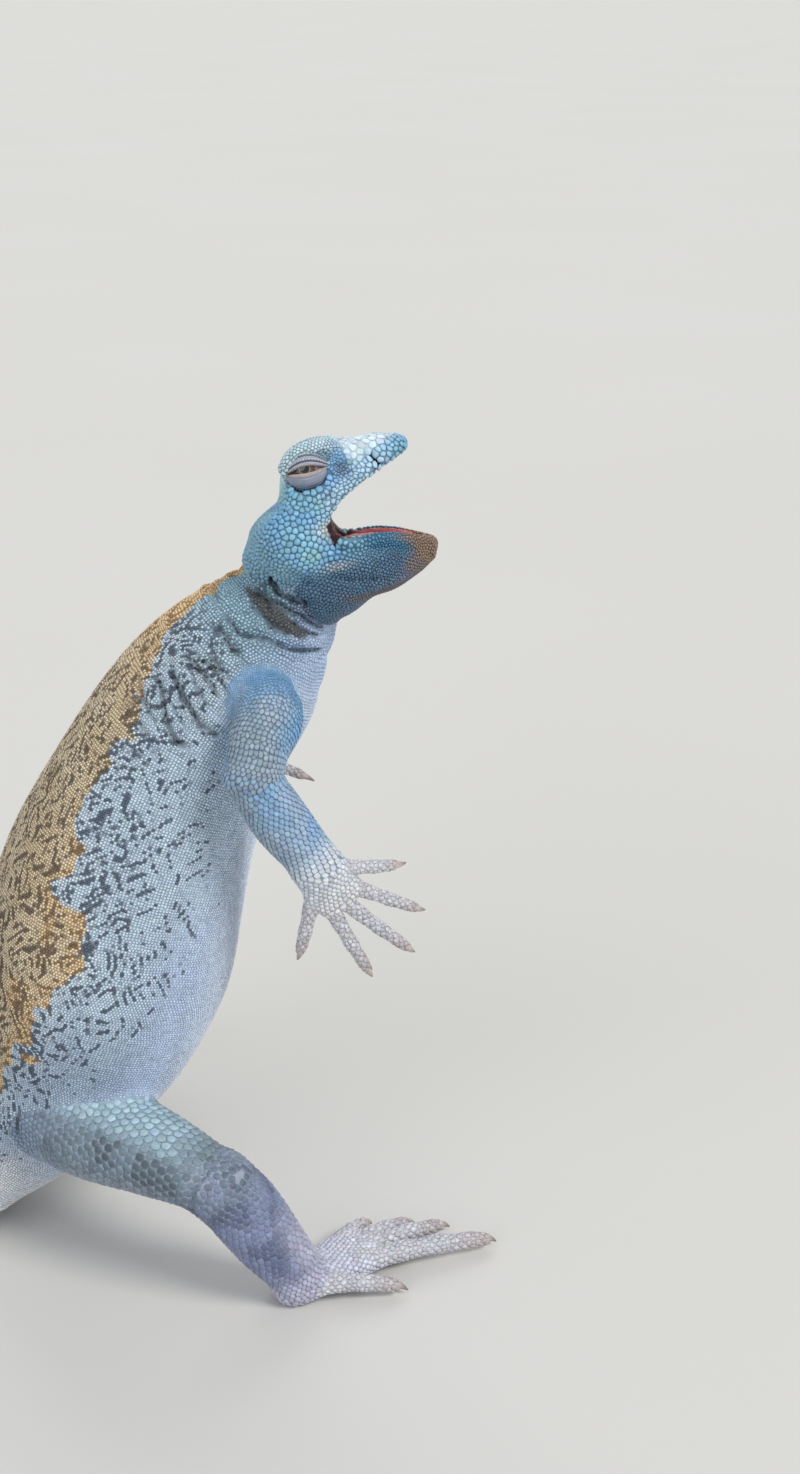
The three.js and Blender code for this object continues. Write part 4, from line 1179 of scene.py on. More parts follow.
def scale_mesh(name, roots, rings, uv):
    """One closed low dome or lapping plate for each root, joined in one mesh."""
    p, out, radius, ahead, across = (roots[k] for k in ("p", "out", "radius", "ahead", "across"))
    n, sides = radius.shape
    turns = np.arange(sides) * 2 * np.pi / sides
    cos, sin = np.cos(turns), np.sin(turns)
    size, high, lap = roots["size"][:, None], roots["high"][:, None], roots["lap"][:, None]
    tip = 0.5 + 0.5 * cos[None]
    block = []
    for wide, rise, _, _ in rings:
        lift = high * (rise * (1 - lap * (1 - tip)) + lap * 0.5 * tip if rise > 0 else rise + 0 * tip)
        slide = lap * 0.2 * size * tip * (rise > 0)
        block.append(p[:, None] + ahead[:, None] * (radius * wide * cos + slide)[..., None]
                     + across[:, None] * (radius * wide * sin)[..., None] + out[:, None] * lift[..., None])
    peak = p + out * (high * (1 - 0.25 * lap)) + ahead * (0.12 * lap * size)
    points = np.concatenate([*block, peak[:, None]], 1).reshape(-1, 3)
    points[:, 2] = np.maximum(points[:, 2], ABOVE_FLOOR)
    k = np.arange(sides)
    nxt, top = (k + 1) % sides, (len(rings) - 1) * sides
    bands, cap = joined(*walls(len(rings), sides)), joined(k + top, nxt + top, top + sides)
    pattern = np.concatenate([bands.ravel(), cap.ravel(), k[::-1]])
    counts = np.tile([4] * len(bands) + [3] * sides + [sides], n)
    corners = (np.arange(n)[:, None] * (top + sides + 1) + pattern[None]).ravel()
    thing = make_mesh(name, points, corners, counts)
    tint, gap = roots["tint"][:, None], roots["gap"][:, None]
    colour = [np.repeat(gap + (tint - gap) * own, sides, 1) for _, _, own, _ in rings]
    set_tint(thing, np.concatenate([*colour, tint], 1).reshape(-1, 3))
    set_value(thing, np.tile([gloss for *_, gloss in rings for _ in k] + [1.0], n), "rise")
    ring = np.stack([cos, sin], -1) * PATCH
    local = np.concatenate([*(ring * wide for wide, *_ in rings), [[0, 0]]])
    place = (uv[:, None] + local[None]).reshape(-1, 2)
    set_map(thing, place, corners)
    return thing


# Height of a scale as a share of its size, how far it laps the next, and how much of its patch it covers
SHAPES = {
    "trunk": (0.22, 0.35, 1.0), "tail": (0.24, 0.45, 1.0), "skull": (0.3, 0.12, 1.0),
    "jaw": (0.36, 0.2, 0.92), "arm": (0.2, 0.75, 1.0), "forearm": (0.2, 0.8, 1.0), "thigh": (0.22, 0.4, 0.97),
    "shin": (0.24, 0.5, 0.95), "palm": (0.24, 0.4, 1.0), "digit": (0.22, 0.5, 1.0),
}
# Pieces by kind: name, slot, sides and rings of each scale, most scales in one piece
GROUPS = {
    "scales_trunk": (("trunk",), "body", 6, FINE, 16000),
    "scales_tail": (("tail",), "tail", 6, LOW, 8800),
    "scales_head": (("skull",), "head", 8, FULL, 4200),
    "scales_jaw": (("jaw",), "head", 6, LOW, 8800),
    "scales_arms": (("arm", "forearm"), "limb", 6, FULL, 5000),
    "scales_legs": (("thigh", "shin"), "limb", 8, FULL, 4200),
    "scales_paws": (("palm", "digit"), "paw", 6, LOW, 8800),
}


def collect_roots(field, skin):
    """Places every scale: rows and a scatter on the head, rings elsewhere, and fillers where parts join."""
    lists = {k: [] for k in ("p", "out", "ahead", "size", "kind")}
    kinds = list(SHAPES)

    def head_kinds(p):
        jaws = field.owners(p) == tag_of(JAW_TUBE)
        return np.where(jaws, kinds.index("jaw"), kinds.index("skull"))

    def take(p, out, ahead, size, kind):
        for key, value in zip(lists, (p, out, ahead, size, np.broadcast_to(kind, len(p)))):
            lists[key].append(value)

    rows = head_rows(field)
    kind_of_tag = np.array([0] + [kinds.index(tube.kind) for tube in TUBES] + [kinds.index("skull")] * 40)
    take(*rows, head_kinds(rows[0]))
    for tube in TUBES:
        if tube.kind != "skull":
            roots = ring_roots(field, tube)
            if tube.kind == "jaw":
                u, _, v = to_head(roots[0]).T
                fine = (v + 0.25 * u < -10) & (mouth_at(field, roots[0]) < 0.2)
                roots = [value[fine] for value in roots]
            take(*roots, kinds.index(tube.kind))
    keep = thinned(np.vstack(lists["p"]), 0.6 * np.concatenate(lists["size"]))
    keep[:len(rows[0])] = True
    lists = {k: [np.concatenate(v)[keep]] for k, v in lists.items()}

    points = points_of(skin)
    owner = field.owners(points)
    bare = (mouth_at(field, points) > LINING) | in_eye(to_head(points)) | (owner >= MOUTH_TAG) | (owner == 0)
    on_head = np.isin(owner, [tag_of(SKULL_TUBE), tag_of(JAW_TUBE)])
    taken = lists["p"][0]
    q, size = spread_roots(skin, taken, on_head & ~bare, head_pitch, 5, 70000)
    q, out = relax(field, q, size, taken)
    keep = may_carry_scales(field, q)
    q, out, size = q[keep], out[keep], size[keep]
    take(q, out, np.broadcast_to(-HEAD_TURN[:, 0], q.shape), size, head_kinds(q))

    def local_size(x):
        size = np.ones(len(x))
        for tube, pick in tube_parts(field.owners(x)):
            size[pick] = pitch_on(tube, tube.locate(x[pick])[0])
        return size

    q, size = spread_roots(skin, np.vstack(lists["p"]), ~on_head & ~bare, local_size, 6, 300000)
    q, out = field.settle(q, 2)
    tags = field.owners(q)
    lay = np.zeros(q.shape)
    for tube, pick in tube_parts(tags):
        lay[pick] = tube.frames(tube.locate(q[pick])[0])[1] @ tube.turn.T
    take(q, out, lay, size, kind_of_tag[tags])
    return {k: np.concatenate(v) for k, v in lists.items()}, kinds


def shade_of_folds(field, p):
    """Painted shade: skin and scales are painted dull and dark in the bottom of a fold, where shadow falls.
    """
    return (1 - 0.88 * ease(0.5, 0.75, field.at(p, field.fold)))[:, None]


def build_scales(field, skin, materials):
    roots, kinds = collect_roots(field, skin)
    p, kind = roots["p"], roots["kind"]
    owner = field.owners(p)
    owner = np.where(owner >= MOUTH_TAG, tag_of(SKULL_TUBE), owner)
    tint, gap, station, turn = paint(p, owner)
    # Painted shade in the bottom of folds darkens scales and their gaps
    shade = shade_of_folds(field, p)
    tint, gap = tint * shade, gap * shade
    vary = 1 + 0.1 * noise(p, 0.8, 21) + rng.normal(0, 0.07, len(p))
    roots["tint"] = np.clip(tint * vary[:, None] * (1 + rng.normal(0, 0.02, (len(p), 3))), 0, 1)
    roots["gap"] = gap
    shape = np.array(list(SHAPES.values()))[kind]
    high, lap, cover = shape.T
    u, _, v = to_head(p).T
    plates = (kind == kinds.index("skull")) * ease(8.5, 10.5, u) * ease(2.6, 4, v)
    high = high * (1 - 0.65 * plates)
    for group, (members, slot, sides, rings, most) in GROUPS.items():
        pick = np.flatnonzero(np.isin(kind, [kinds.index(one) for one in members]))
        order = station if len(members) == 1 else owner
        pick = pick[np.argsort(order[pick], kind="stable")]
        radius, ahead, across = outlines(p, roots["out"], roots["ahead"], pick, sides, roots["size"] * 0.85)
        radius = radius * cover[pick][:, None]
        size = radius.mean(1) * 1.9
        one = {"p": p[pick], "out": roots["out"][pick], "radius": radius, "ahead": ahead, "across": across,
               "size": size, "high": high[pick] * size, "lap": lap[pick], "tint": roots["tint"][pick],
               "gap": roots["gap"][pick]}
        parts = np.array_split(np.arange(len(pick)), math.ceil(len(pick) / most))
        for number, part in enumerate(parts, 1):
            whole = pick[part]
            tags = np.unique(owner[whole])
            strip = np.searchsorted(tags, owner[whole]) / len(tags)
            low, top = station[whole].min(), station[whole].max()
            uv = np.stack([(station[whole] - low) / max(top - low, 1e-6),
                           strip + (turn[whole] / (2 * np.pi) % 1) / len(tags)], -1)
            name = group if len(parts) == 1 else f"{group}_{number}"
            thing = scale_mesh(name, {k: value[part] for k, value in one.items()}, rings, 0.01 + 0.98 * uv)
            finish_piece(thing, materials["scales"])


# Lids and eyes

def eye_axes(s):
    """The eye's centre, and its ways from back to front of the slit, up and outward, in the head's frame."""
    tilt = EYE["tilt"]
    return (mirrored(EYE["at"], s), np.array([math.cos(tilt), 0, -math.sin(tilt)]),
            np.array([math.sin(tilt), 0, math.cos(tilt)]), np.array([0.0, s, 0.0]))


# Lids: degrees from the margin to the rim, grooves across them (degrees, depth, width) and colours by
# degrees; the darkest colours lie in the grooves as painted shade
LIDS = {
    "upper": {
        "margin": (-3, 15), "rim": 104, "grooves": [(11, 0.34, 2.6), (26, 0.34, 3), (43, 0.38, 3.4)],
        "colours": [(0, (150, 146, 152)), (4, (186, 188, 196)), (7, (176, 180, 192)), (11, (62, 62, 74)),
                    (15, (166, 170, 184)), (22, (176, 186, 200)), (26, (74, 80, 96)),
                    (31, (158, 174, 188)), (43, (66, 82, 98)),
                    (52, (140, 170, 184)), (100, (120, 150, 170))]},
    "lower": {
        "margin": (-3, -6), "rim": -86,
        "grooves": [(9, 0.12, 2), (17, 0.05, 1.6), (38, 0.09, 2), (47, 0.16, 2.2), (57, 0.3, 3)],
        "colours": [(0, (216, 194, 176)), (3, (192, 178, 172)), (6, (142, 142, 158)), (12, (150, 156, 172)),
                    (18, (138, 146, 164)), (28, (142, 150, 168)), (44, (146, 154, 174)),
                    (47, (106, 114, 134)), (50, (140, 150, 172)), (57, (90, 104, 126)),
                    (64, (120, 146, 170)), (100, (110, 142, 168))]},
}


def ramp(stops, x):
    places = [place for place, _ in stops]
    colours = np.array([rgb(*colour) for _, colour in stops])
    return np.stack([np.interp(x, places, colours[:, i]) for i in range(3)], -1)


def lid_surface(s, which, beta, g):
    """A lid as a shell round the line through the eye's corners: beta along it, g from margin to rim."""
    lid = LIDS[which]
    at, x, y, z = eye_axes(s)
    open_to = np.clip(np.cos(np.clip(np.abs(beta + 0.1) / math.radians(62), 0, 1) * np.pi / 2), 0, 1) ** 0.75
    margin = np.radians(lid["margin"][0] + lid["margin"][1] * open_to)
    gamma = margin + (math.radians(lid["rim"]) - margin) * g
    off = np.degrees(np.abs(gamma - margin))
    ends = np.degrees(np.abs(beta))
    start = EYE["ball"] + 0.1 + 0.5 * ease(60, 80, ends)
    r = start + (EYE["lid"] - start) * ease(0, 7, off) ** 0.6
    r = r + 0.12 * spot((off, 5, 3.5)) + 0.14 * spot((off, 24, 18))
    for place, depth, wide in lid["grooves"]:
        r = r - depth * spot((off, place, wide)) * ease(90, 55, ends)
    r = r - 0.7 * ease(0.84, 1, g) - 0.55 * ease(66, 86, ends)
    out = np.cos(gamma)[..., None] * z + np.sin(gamma)[..., None] * y
    return at + r[..., None] * (np.cos(beta)[..., None] * out + np.sin(beta)[..., None] * x), off


def build_lids(materials):
    beads = []
    for name, s in SIDES.items():
        points, faces, colours = [], [], []
        for which in LIDS:
            along = np.radians(np.linspace(-87, 87, 59))
            beta, g = np.meshgrid(along, np.linspace(0, 1, 60) ** 1.3, indexing="ij")
            outer, off = lid_surface(s, which, beta, g)
            at = mirrored(EYE["at"], s)
            inner = (at + unit(outer - at) * (EYE["ball"] + 0.08))[:, ::-4]
            loop = np.concatenate([outer, inner], 1)
            tones = np.concatenate([off, off[:, ::-4]], 1)
            faces.append(sum(map(len, points)) + joined(*walls(*loop.shape[:2])))
            points.append(loop.reshape(-1, 3))
            shade = ramp(LIDS[which]["colours"], tones.ravel())
            colours.append(shade * (1 + 0.07 * noise(points[-1], 0.5, 51))[:, None])
            beads.append(lid_beads(s, which))
        thing = make_mesh(f"lids_{name}", in_head(np.vstack(points)), np.vstack(faces))
        flip_if_inward(thing)
        set_tint(thing, np.clip(np.vstack(colours), 0, 1))
        finish_piece(thing, materials["lid"])
    roots = {k: np.concatenate([one[k] for one in beads]) for k in beads[0]}
    everyone = np.arange(len(roots["p"]))
    reach = roots["size"] * 0.62
    radius, ahead, across = outlines(roots["p"], roots["out"], roots["ahead"], everyone, 6, reach)
    size = radius.mean(1) * 1.9
    roots.update(radius=radius, ahead=ahead, across=across, size=size, high=roots["dome"] * size,
                 lap=np.zeros(len(size)))
    finish_piece(scale_mesh("scales_lids", roots, LOW, roots["uv"]), materials["scales"])


LID_ROWS = {  # degrees from the margin, size of the scales and their height as a share of it
    "upper": [(3.5, 0.4, 0.3), (17, 0.5, 0.12), (22, 0.5, 0.12), (33, 0.5, 0.16), (38, 0.5, 0.16),
              (50, 0.55, 0.3), (57, 0.6, 0.34), (64, 0.6, 0.34)],
    "lower": [(3.5, 0.42, 0.28), (52, 0.55, 0.2), (63, 0.6, 0.3), (70, 0.65, 0.3)],
}


def lid_beads(s, which):
    """Small scales in rows on one lid."""
    rows = []
    lid = LIDS[which]
    for k, (off, size, dome) in enumerate(LID_ROWS[which]):
        most = math.radians(60 if off < 8 else 72)
        count = int(2 * most * EYE["lid"] / size)
        beta = np.linspace(-most, most, count) + (k % 2) * 0.5 * size / EYE["lid"]
        reach = np.abs(lid["rim"] - lid["margin"][0] - 0.7 * lid["margin"][1])
        g = np.full(count, off / reach)
        p, here = lid_surface(s, which, beta, g)
        along = lid_surface(s, which, beta + 0.01, g)[0] - p
        down = lid_surface(s, which, beta, g + 0.004)[0] - p
        out = unit(np.cross(along, down))
        out *= np.sign((out * (p - mirrored(EYE["at"], s))).sum(1))[:, None]
        tint = ramp(lid["colours"], here) * 1.08 * (1 + rng.normal(0, 0.05, (count, 1)))
        row = (0.04 if which == "upper" else 0.28) + 0.2 * off / 90 + 0.5 * (s > 0)
        uv = np.stack([0.1 + 0.8 * (beta + 1.6) / 3.2, np.full(count, row)], -1)
        rows.append({"p": in_head(p), "out": out @ HEAD_TURN.T, "ahead": unit(along) @ HEAD_TURN.T,
                     "size": np.full(count, size), "dome": np.full(count, dome), "tint": np.clip(tint, 0, 1),
                     "gap": tint * 0.6, "uv": uv})
    return {k: np.concatenate([row[k] for row in rows]) for k in rows[0]}


def build_eyes(materials):
    """Eyeballs with a slight bulge over the iris; round pupil, iris and pink front corner are coloured in."""
    turns = 64
    for name, s in SIDES.items():
        at, x, y, z = eye_axes(s)
        gaze = unit(z - 0.14 * x + 0.1 * y)
        side = unit(np.cross(gaze, x))
        over = np.cross(side, gaze)
        polar = np.concatenate([np.linspace(0, 60, 41), np.linspace(66, 174, 15)])
        a, b = np.meshgrid(np.radians(polar), np.arange(turns) * 2 * np.pi / turns, indexing="ij")
        r = EYE["ball"] + 0.1 * ease(38, 18, np.degrees(a))
        ring = at + r[..., None] * (np.cos(a)[..., None] * gaze + np.sin(a)[..., None] * (
            np.cos(b)[..., None] * over + np.sin(b)[..., None] * side))
        points = np.vstack([ring[1:].reshape(-1, 3), ring[0, :1], at - gaze * EYE["ball"]])
        rows = len(polar) - 1
        quads = joined(*walls(rows, turns))
        k, last = np.arange(turns), (rows - 1) * turns
        front = joined(rows * turns, (k + 1) % turns, k)
        back = joined(rows * turns + 1, last + k, last + (k + 1) % turns)
        corners = np.concatenate([quads.ravel(), front.ravel(), back.ravel()])
        counts = np.array([4] * len(quads) + [3] * 2 * turns)
        thing = make_mesh(f"eyeball_{name}", in_head(points), corners, counts)
        flip_if_inward(thing)
        off = np.degrees(np.arccos(np.clip(unit(points - at) @ gaze, -1, 1)))
        ahead = unit(points - at) @ x
        streaks = 1 + 0.22 * noise(np.stack([ahead * 9, (unit(points - at) @ y) * 9, off * 0.02], -1), 1, 61)
        colour = ramp([(0, (7, 6, 7)), (14.5, (8, 7, 8)), (16.5, (150, 138, 122)), (19, (104, 90, 80)),
                       (27, (70, 60, 58)), (31, (38, 32, 34)), (36, (66, 58, 64)), (60, (92, 82, 90))], off)
        colour = mix(colour * streaks[:, None], rgb(138, 120, 134), ease(0.36, 0.52, ahead))
        set_tint(thing, np.clip(colour, 0, 1))
        finish_piece(thing, materials["eye"], [f"eye_{name}"])


def flip_if_inward(thing):
    bm = bmesh.new()
    bm.from_mesh(thing.data)
    bmesh.ops.recalc_face_normals(bm, faces=bm.faces)
    bm.to_mesh(thing.data)
    bm.free()


# Tongue, claws and tail spines

def tube_piece(name, tube, material, nodes, step, sides, shape=None):
    points, faces = tube.mesh(0, step=step, sides=sides)
    if shape is not None:
        points = shape(points)
    thing = make_mesh(name, points, faces)
    flip_if_inward(thing)
    return finish_piece(thing, material, nodes)


def build_tongue(materials):
    def shape(points):
        q = to_head(points)
        q[:, 2] += 0.3 - 0.45 * np.exp(-((q[:, 1] / 0.6) ** 2)) + 0.1 * noise(q, 0.7, 31)
        return in_head(q)

    tube_piece("tongue_flesh", TONGUE_TUBE, materials["tongue"], ["tongue"], 0.3, 64, shape)


def build_claws(materials):
    for limb, (digits, b) in PAWS.items():
        kind = "finger" if limb.startswith("hand") else "toe"
        for number, rows in enumerate(digits, 1):
            tip, before = np.array(rows[3][:3]), np.array(rows[2][:3])
            way = unit(tip - before)
            line = []
            for s, k in ((-0.3, 1), (0, 0.9), (0.24, 0.68), (0.5, 0.36), (0.66, 0.1)):
                q = tip + way * (s * CLAW["length"] + 0.4) - b * CLAW["droop"][kind] * max(0, s) ** 2
                line.append([*q, CLAW["root"] * k * 0.72, CLAW["root"] * k, CLAW["root"] * k])
            tube = Tube("claw", line, b, shape=2, blunt=0.6)

            def shape(points):
                points[:, 2] = np.maximum(points[:, 2], 0.02)
                return points

            name = limb.split("_")[1]
            thing = tube_piece(f"horn_{kind}_{number}_{name}", tube, materials["claw"],
                               [f"claw_{kind}_{number}_{name}"], 0.22, 18, shape)
            set_value(thing, np.clip(((points_of(thing) - tip) @ way) / CLAW["length"], 0, 1), "along")


def whorl_at(k):
    return TAIL_AT + 0.12 + (LAST - TAIL_AT - 0.3) * (k / WHORLS["count"]) ** 0.94


def build_spines(field, materials):
    """Whorls of keeled spines that lie back along the tail, widest at its sides and flattest below."""
    length_all = SPINE_LINE.arc[-1]
    ring = np.array([[-1, 0], [-0.72, 0.42], [-0.28, 0.86], [0, 1.08], [0.28, 0.86], [0.72, 0.42], [1, 0],
                     [0, -0.35]])
    along = np.array([-0.28, 0, 0.22, 0.45, 0.66, 0.83, 0.94])
    girth = np.array([0.7, 1, 1.02, 0.84, 0.58, 0.32, 0.13])
    points, tint, rise, uv, faces, counts = [], [], [], [], [], []
    m = len(ring)
    around = np.arange(m)
    places = []
    for k in range(WHORLS["count"]):
        base = round(WHORLS["most"] + (WHORLS["fewest"] - WHORLS["most"]) * k / (WHORLS["count"] - 1))
        angles = 2 * np.pi * (np.arange(2 * base) + 0.5 + (k % 2) * 0.5) / (2 * base)
        places.append(np.stack([np.full(2 * base, k), np.full(2 * base, whorl_at(k)), angles], -1))
    k, t, angle = np.vstack(places).T
    start = TAIL.surface(t, angle, -COAT)
    ways = unit(TAIL.surface(t + 0.03, angle, -COAT) - start)
    starts, outs = field.settle(start)
    ways = unit(ways - outs * (ways * outs).sum(1)[:, None])
    shades = paint_body(starts, t, angle, TAIL)[0]
    rooms = (whorl_at(k + 1) - t) * length_all / LAST
    sizes = curve(SPINE[:, 3:], t)[0]
    counts_at = np.bincount(k.astype(int))
    for k, t, angle, root, out, ahead, shade, room, size in zip(
            k.astype(int), t, angle, starts, outs, ways, shades, rooms, sizes):
        count = counts_at[k]
        low = math.sin(angle) < -0.62
        side = np.cross(ahead, out)
        vary = 0.86 + 0.28 * rng.random()
        width = WHORLS["width"] * np.pi * (size[0] + size[1]) / count * 1.02
        length = min(WHORLS["length"], room * 0.9) * vary * (0.72 if low else 1)
        flat = 0.22 if low else 0.8 + 0.35 * abs(math.cos(angle))
        high = length * math.tan(math.radians(WHORLS["lean"])) * flat * vary
        thick = width * (0.35 if low else 0.72)
        lift = (np.clip(along, 0, 1) ** 1.15)[:, None] * high
        line = root + ahead * (along[:, None] * length) + out * lift
        body = (line[:, None] + side * (ring[:, 0] * width * girth[:, None])[..., None]
                + out * (ring[:, 1] * thick * girth[:, None] - 0.2)[..., None])
        tip = line[-1] + (line[-1] - line[-2]) * 0.9
        block = np.vstack([body.reshape(-1, 3), tip, root - ahead * length * 0.4 - out * 0.3])
        start = sum(map(len, points))
        quads = joined(*walls(len(along), m))
        end = (len(along) - 1) * m
        ends = [joined(end + around, end + (around + 1) % m, len(along) * m),
                joined((around + 1) % m, around, len(along) * m + 1)]
        faces += [(quads + start).ravel(), (np.vstack(ends) + start).ravel()]
        counts += [4] * len(quads) + [3] * (2 * m)
        points.append(block)
        horn = mix(shade, rgb(206, 190, 160), np.array(0.15 if low else 0.5))
        tone = np.concatenate([np.repeat(np.clip(along, 0, 1), m), [1, 0]])
        colour = mix(shade * 0.8, horn, ease(0, 0.6, tone)) * (0.92 + 0.16 * rng.random())
        tint.append(mix(colour, rgb(122, 98, 72), 0.35 * ease(0.75, 1, tone)))
        rise.append(0.3 + 0.7 * tone)
        place = np.array([0.02 + 0.96 * k / WHORLS["count"], 0.02 + 0.96 * (angle / (2 * np.pi) % 1)])
        local = np.stack([np.repeat(along, m), np.tile(ring[:, 0], len(along))], -1)
        local = np.concatenate([local, [[1.1, 0], [-0.4, 0]]])
        uv.append(place + local * PATCH)
    corners = np.concatenate(faces)
    thing = make_mesh("tail_spines", np.vstack(points), corners, np.array(counts))
    set_map(thing, np.vstack(uv), corners)
    set_tint(thing, np.vstack(tint))
    set_value(thing, np.concatenate(rise), "rise")
    flip_if_inward(thing)
    co = points_of(thing)
    co[:, 2] = np.maximum(co[:, 2], ABOVE_FLOOR)
    place_points(thing.data, co)
    finish_piece(thing, materials["scales"])


# Materials

def new_material(name, rough=None, bump=None, sockets=None):
    """A material without its colour yet, its node tree and the socket for the colour.

    rough: an attribute's name or the scale of a noise, its range, and the roughness at both ends.
    bump: scale and detail of the noise, strength, and height in metres.
    """
    material = bpy.data.materials.new(name)
    material.use_nodes = True
    tree = material.node_tree
    shader = tree.nodes["Principled BSDF"]
    if rough:
        source, *span = rough
        value = attribute(tree, source, "Fac") if isinstance(source, str) else noise_node(tree, source, 2)
        tree.links.new(ranged(tree, value, *span), shader.inputs["Roughness"])
    if bump:
        scale, detail, strength, distance = bump
        made = node(tree, "ShaderNodeBump", Strength=strength, Distance=distance)
        tree.links.new(noise_node(tree, scale, detail), made.inputs["Height"])
        tree.links.new(made.outputs["Normal"], shader.inputs["Normal"])
    for key, value in (sockets or {}).items():
        shader.inputs[key].default_value = value
    return material, tree, shader.inputs["Base Color"]


def node(tree, kind, **settings):
    made = tree.nodes.new(kind)
    for key, value in settings.items():
        if key in made.inputs:
            made.inputs[key].default_value = value
        else:
            setattr(made, key, value)
    return made


def attribute(tree, name, output="Color"):
    return node(tree, "ShaderNodeAttribute", attribute_name=name).outputs[output]


def noise_node(tree, scale, detail):
    made = node(tree, "ShaderNodeTexNoise", Scale=scale, Detail=detail)
    tree.links.new(node(tree, "ShaderNodeTexCoord").outputs["Object"], made.inputs["Vector"])
    return made.outputs["Fac"]


def ranged(tree, value, low, high, to_low, to_high):
    made = node(tree, "ShaderNodeMapRange")
    tree.links.new(value, made.inputs["Value"])
    for key, number in (("From Min", low), ("From Max", high), ("To Min", to_low), ("To Max", to_high)):
        made.inputs[key].default_value = number
    return made.outputs["Result"]


def blended(tree, kind, factor, a, b):
    made = node(tree, "ShaderNodeMix", data_type="RGBA", blend_type=kind)
    for socket, value in ((made.inputs[0], factor), (made.inputs[6], a), (made.inputs[7], b)):
        if isinstance(value, bpy.types.NodeSocket):
            tree.links.new(value, socket)
        elif isinstance(value, float):
            socket.default_value = value
        else:
            socket.default_value = (*value, 1)
    return made.outputs[2]


def mottled(tree, socket, colour, scale, detail, darkest, lightest):
    """Gives the socket the colour, darker and lighter in fine patches."""
    patches = ranged(tree, noise_node(tree, scale, detail), 0.3, 0.7, darkest, lightest)
    tree.links.new(blended(tree, "MULTIPLY", 1.0, colour, patches), socket)


# Looks whose colour comes from the mesh: mottling (scale, detail, darkest, lightest), then as in new_material
LOOKS = {
    # Dry horny scales, whose tops are smoother than the gaps
    "scales": ((1500, 4, 0.86, 1.12), ("rise", 0.2, 1, 0.72, 0.46), (5200, 3, 0.25, 0.00006),
               {"Specular IOR Level": 0.4}),
    # Soft skin between the scales and in the mouth
    "skin": ((900, 4, 0.8, 1.15), ("wet", 0, 1, 0.7, 0.32), (2600, 4, 0.4, 0.0001),
             {"Specular IOR Level": 0.4, "Subsurface Weight": 0.12, "Subsurface Radius": (0.9, 0.45, 0.3),
              "Subsurface Scale": 0.0012}),
    "lid": ((2200, 3, 0.9, 1.08), (1800, 0, 1, 0.42, 0.62), (4200, 4, 0.35, 0.00007), None),
    "eye": ((2600, 4, 0.85, 1.15), (900, 0, 1, 0.08, 0.16), None, {"Coat Weight": 1, "Coat Roughness": 0.03}),
}


def tinted_material(name):
    mottling, *look = LOOKS[name]
    material, tree, colour = new_material(name, *look)
    mottled(tree, colour, attribute(tree, "tint"), *mottling)
    return material


def tongue_material():
    flesh = {"Subsurface Weight": 0.25, "Subsurface Radius": (1, 0.3, 0.25), "Subsurface Scale": 0.0015}
    material, tree, colour = new_material("tongue", (1500, 0, 1, 0.22, 0.4), (3800, 3, 0.5, 0.0001), flesh)
    patches = ranged(tree, noise_node(tree, 700, 4), 0.35, 0.65, 0, 1)
    tree.links.new(blended(tree, "MIX", patches, rgb(176, 84, 88), rgb(204, 122, 118)), colour)
    return material


def claw_material():
    material, tree, colour = new_material("claw", (1200, 0, 1, 0.28, 0.42), (2400, 3, 0.3, 0.00006))
    along = ranged(tree, attribute(tree, "along", "Fac"), 0.1, 0.9, 0, 1)
    horn = blended(tree, "MIX", along, rgb(190, 178, 172), rgb(108, 90, 82))
    mottled(tree, colour, horn, 1400, 4, 0.8, 1.15)
    return material


def floor_material():
    material, tree, colour = new_material("floor", sockets={"Roughness": 0.85})
    soft = ranged(tree, noise_node(tree, 3, 2), 0.3, 0.7, 0, 1)
    tree.links.new(blended(tree, "MIX", soft, rgb(208, 206, 202), rgb(210, 208, 205)), colour)
    return material


def make_materials():
    made = {name: tinted_material(name) for name in LOOKS}
    return {**made, "tongue": tongue_material(), "claw": claw_material()}


# Skin colours

def colour_skin(field, skin, materials):
    points = points_of(skin)
    owner = field.owners(points)
    inner = np.maximum(mouth_at(field, points), owner == MOUTH_TAG)
    hollow = owner == EAR_TAG
    owner = np.where(owner >= MOUTH_TAG, tag_of(SKULL_TUBE), np.where(owner == 0, 1, owner))
    tint, gap, _, _ = paint(points, owner)
    # Painted shade in the bottom of folds darkens the skin between the scales
    gap = gap * shade_of_folds(field, points)
    net = np.isin(owner, [tag_of(tube) for tube in TUBES if tube.kind in ("thigh", "shin")])
    local = to_head(points)
    colour = mix(gap, tint, np.where(net, 0.45, np.where(in_eye(local), 0.8, 0.3)))
    # Painted shade: the mouth's lining, and the web at its corner, go from red at the front to near black
    # deep inside
    deep = ease(7, 1, local[:, 0])
    mouth = mix(rgb(186, 100, 98), rgb(58, 16, 20), deep)
    mouth = mouth * (1 + 0.12 * noise(points, 1.6, 41))[:, None]
    wet = ease(0.25, 0.6, inner)
    colour = mix(colour, mouth, wet)
    # Painted shade: the nostrils and ear openings are painted near black inside
    colour = painted(colour, (30, 26, 30, 0.85 * hollow))
    set_tint(skin, np.clip(colour, 0, 1))
    set_value(skin, wet, "wet")
    flesh = [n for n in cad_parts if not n.startswith(("claw", "eye", "tongue"))]
    finish_piece(skin, materials["skin"], flesh)


# Floor, light and camera

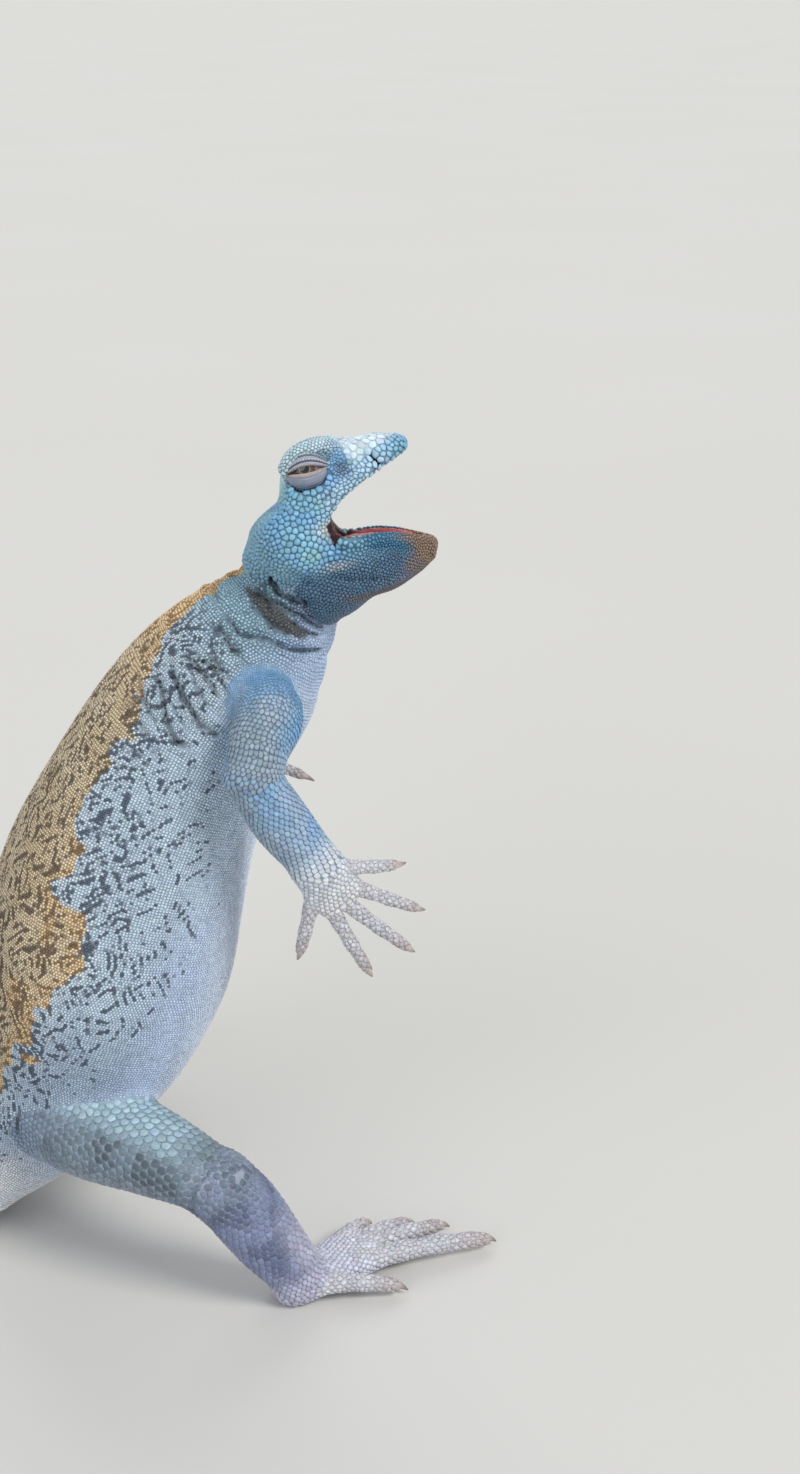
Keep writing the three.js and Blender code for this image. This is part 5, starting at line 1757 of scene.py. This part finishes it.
def build_stage():
    half, count = 60.0, 25  # metres from the middle to the edge, and lines each way, closest at the middle
    line = np.linspace(-1, 1, count)
    line = np.sign(line) * np.abs(line) ** 3 * half / MM
    x, y = np.meshgrid(line, line, indexing="ij")
    points = np.stack([x, y, 0 * x], -1).reshape(-1, 3)
    i, j = np.meshgrid(np.arange(count - 1), np.arange(count - 1), indexing="ij")
    a, b = i * count + j, (i + 1) * count + j
    floor = make_mesh("floor", points, joined(a, b, b + 1, a + 1))
    floor.data.materials.append(floor_material())
    world = bpy.data.worlds.new("studio")
    bpy.context.scene.world = world
    world.use_nodes = True
    background = world.node_tree.nodes["Background"]
    background.inputs["Color"].default_value = (0.9, 0.95, 1, 1)
    background.inputs["Strength"].default_value = 0.5
    for name, way, power, spread, colour in (
            ("key", (0.55, -0.6, 0.85), 1.8, 20, (1, 0.98, 0.95)),
            ("fill", (-0.9, -0.75, 0.6), 0.75, 50, (0.96, 0.98, 1)),
            ("rim", (0.1, 0.9, 0.8), 0.65, 40, (1, 0.98, 0.95))):
        data = bpy.data.lights.new(name, "SUN")
        data.energy, data.angle, data.color = power, math.radians(spread), colour
        lamp = bpy.data.objects.new(name, data)
        lamp.rotation_mode = "QUATERNION"
        lamp.rotation_quaternion = Vector(way).to_track_quat("Z", "Y")
        bpy.context.scene.collection.objects.link(lamp)


PHOTO_HEIGHT = 1474
FOCAL = 1900  # in pixels of the photograph
CAMERA_AT = (47.31, -347.69, 244)
CAMERA_TURN, CAMERA_DOWN = math.radians(10), math.radians(22)


def build_camera():
    """Where the photograph was taken from: turned to the head's side and looking down."""
    turn, down = CAMERA_TURN, CAMERA_DOWN
    ahead = Vector((math.sin(turn) * math.cos(down), math.cos(turn) * math.cos(down), -math.sin(down)))
    data = bpy.data.cameras.new("camera")
    data.sensor_width = 36
    data.lens = FOCAL * data.sensor_width / PHOTO_HEIGHT
    data.clip_start = 0.01
    camera = bpy.data.objects.new("camera", data)
    camera.location = Vector(CAMERA_AT) * MM
    camera.rotation_mode = "QUATERNION"
    camera.rotation_quaternion = ahead.to_track_quat("-Z", "Y")
    bpy.context.scene.collection.objects.link(camera)
    bpy.context.scene.camera = camera
    bpy.context.scene.view_settings.view_transform = "Standard"


# Assembly

build_camera()
build_stage()
materials = make_materials()
field = build_field()
skin = build_skin(field)
build_scales(field, skin, materials)
colour_skin(field, skin, materials)
build_lids(materials)
build_eyes(materials)
build_tongue(materials)
build_claws(materials)
build_spines(field, materials)
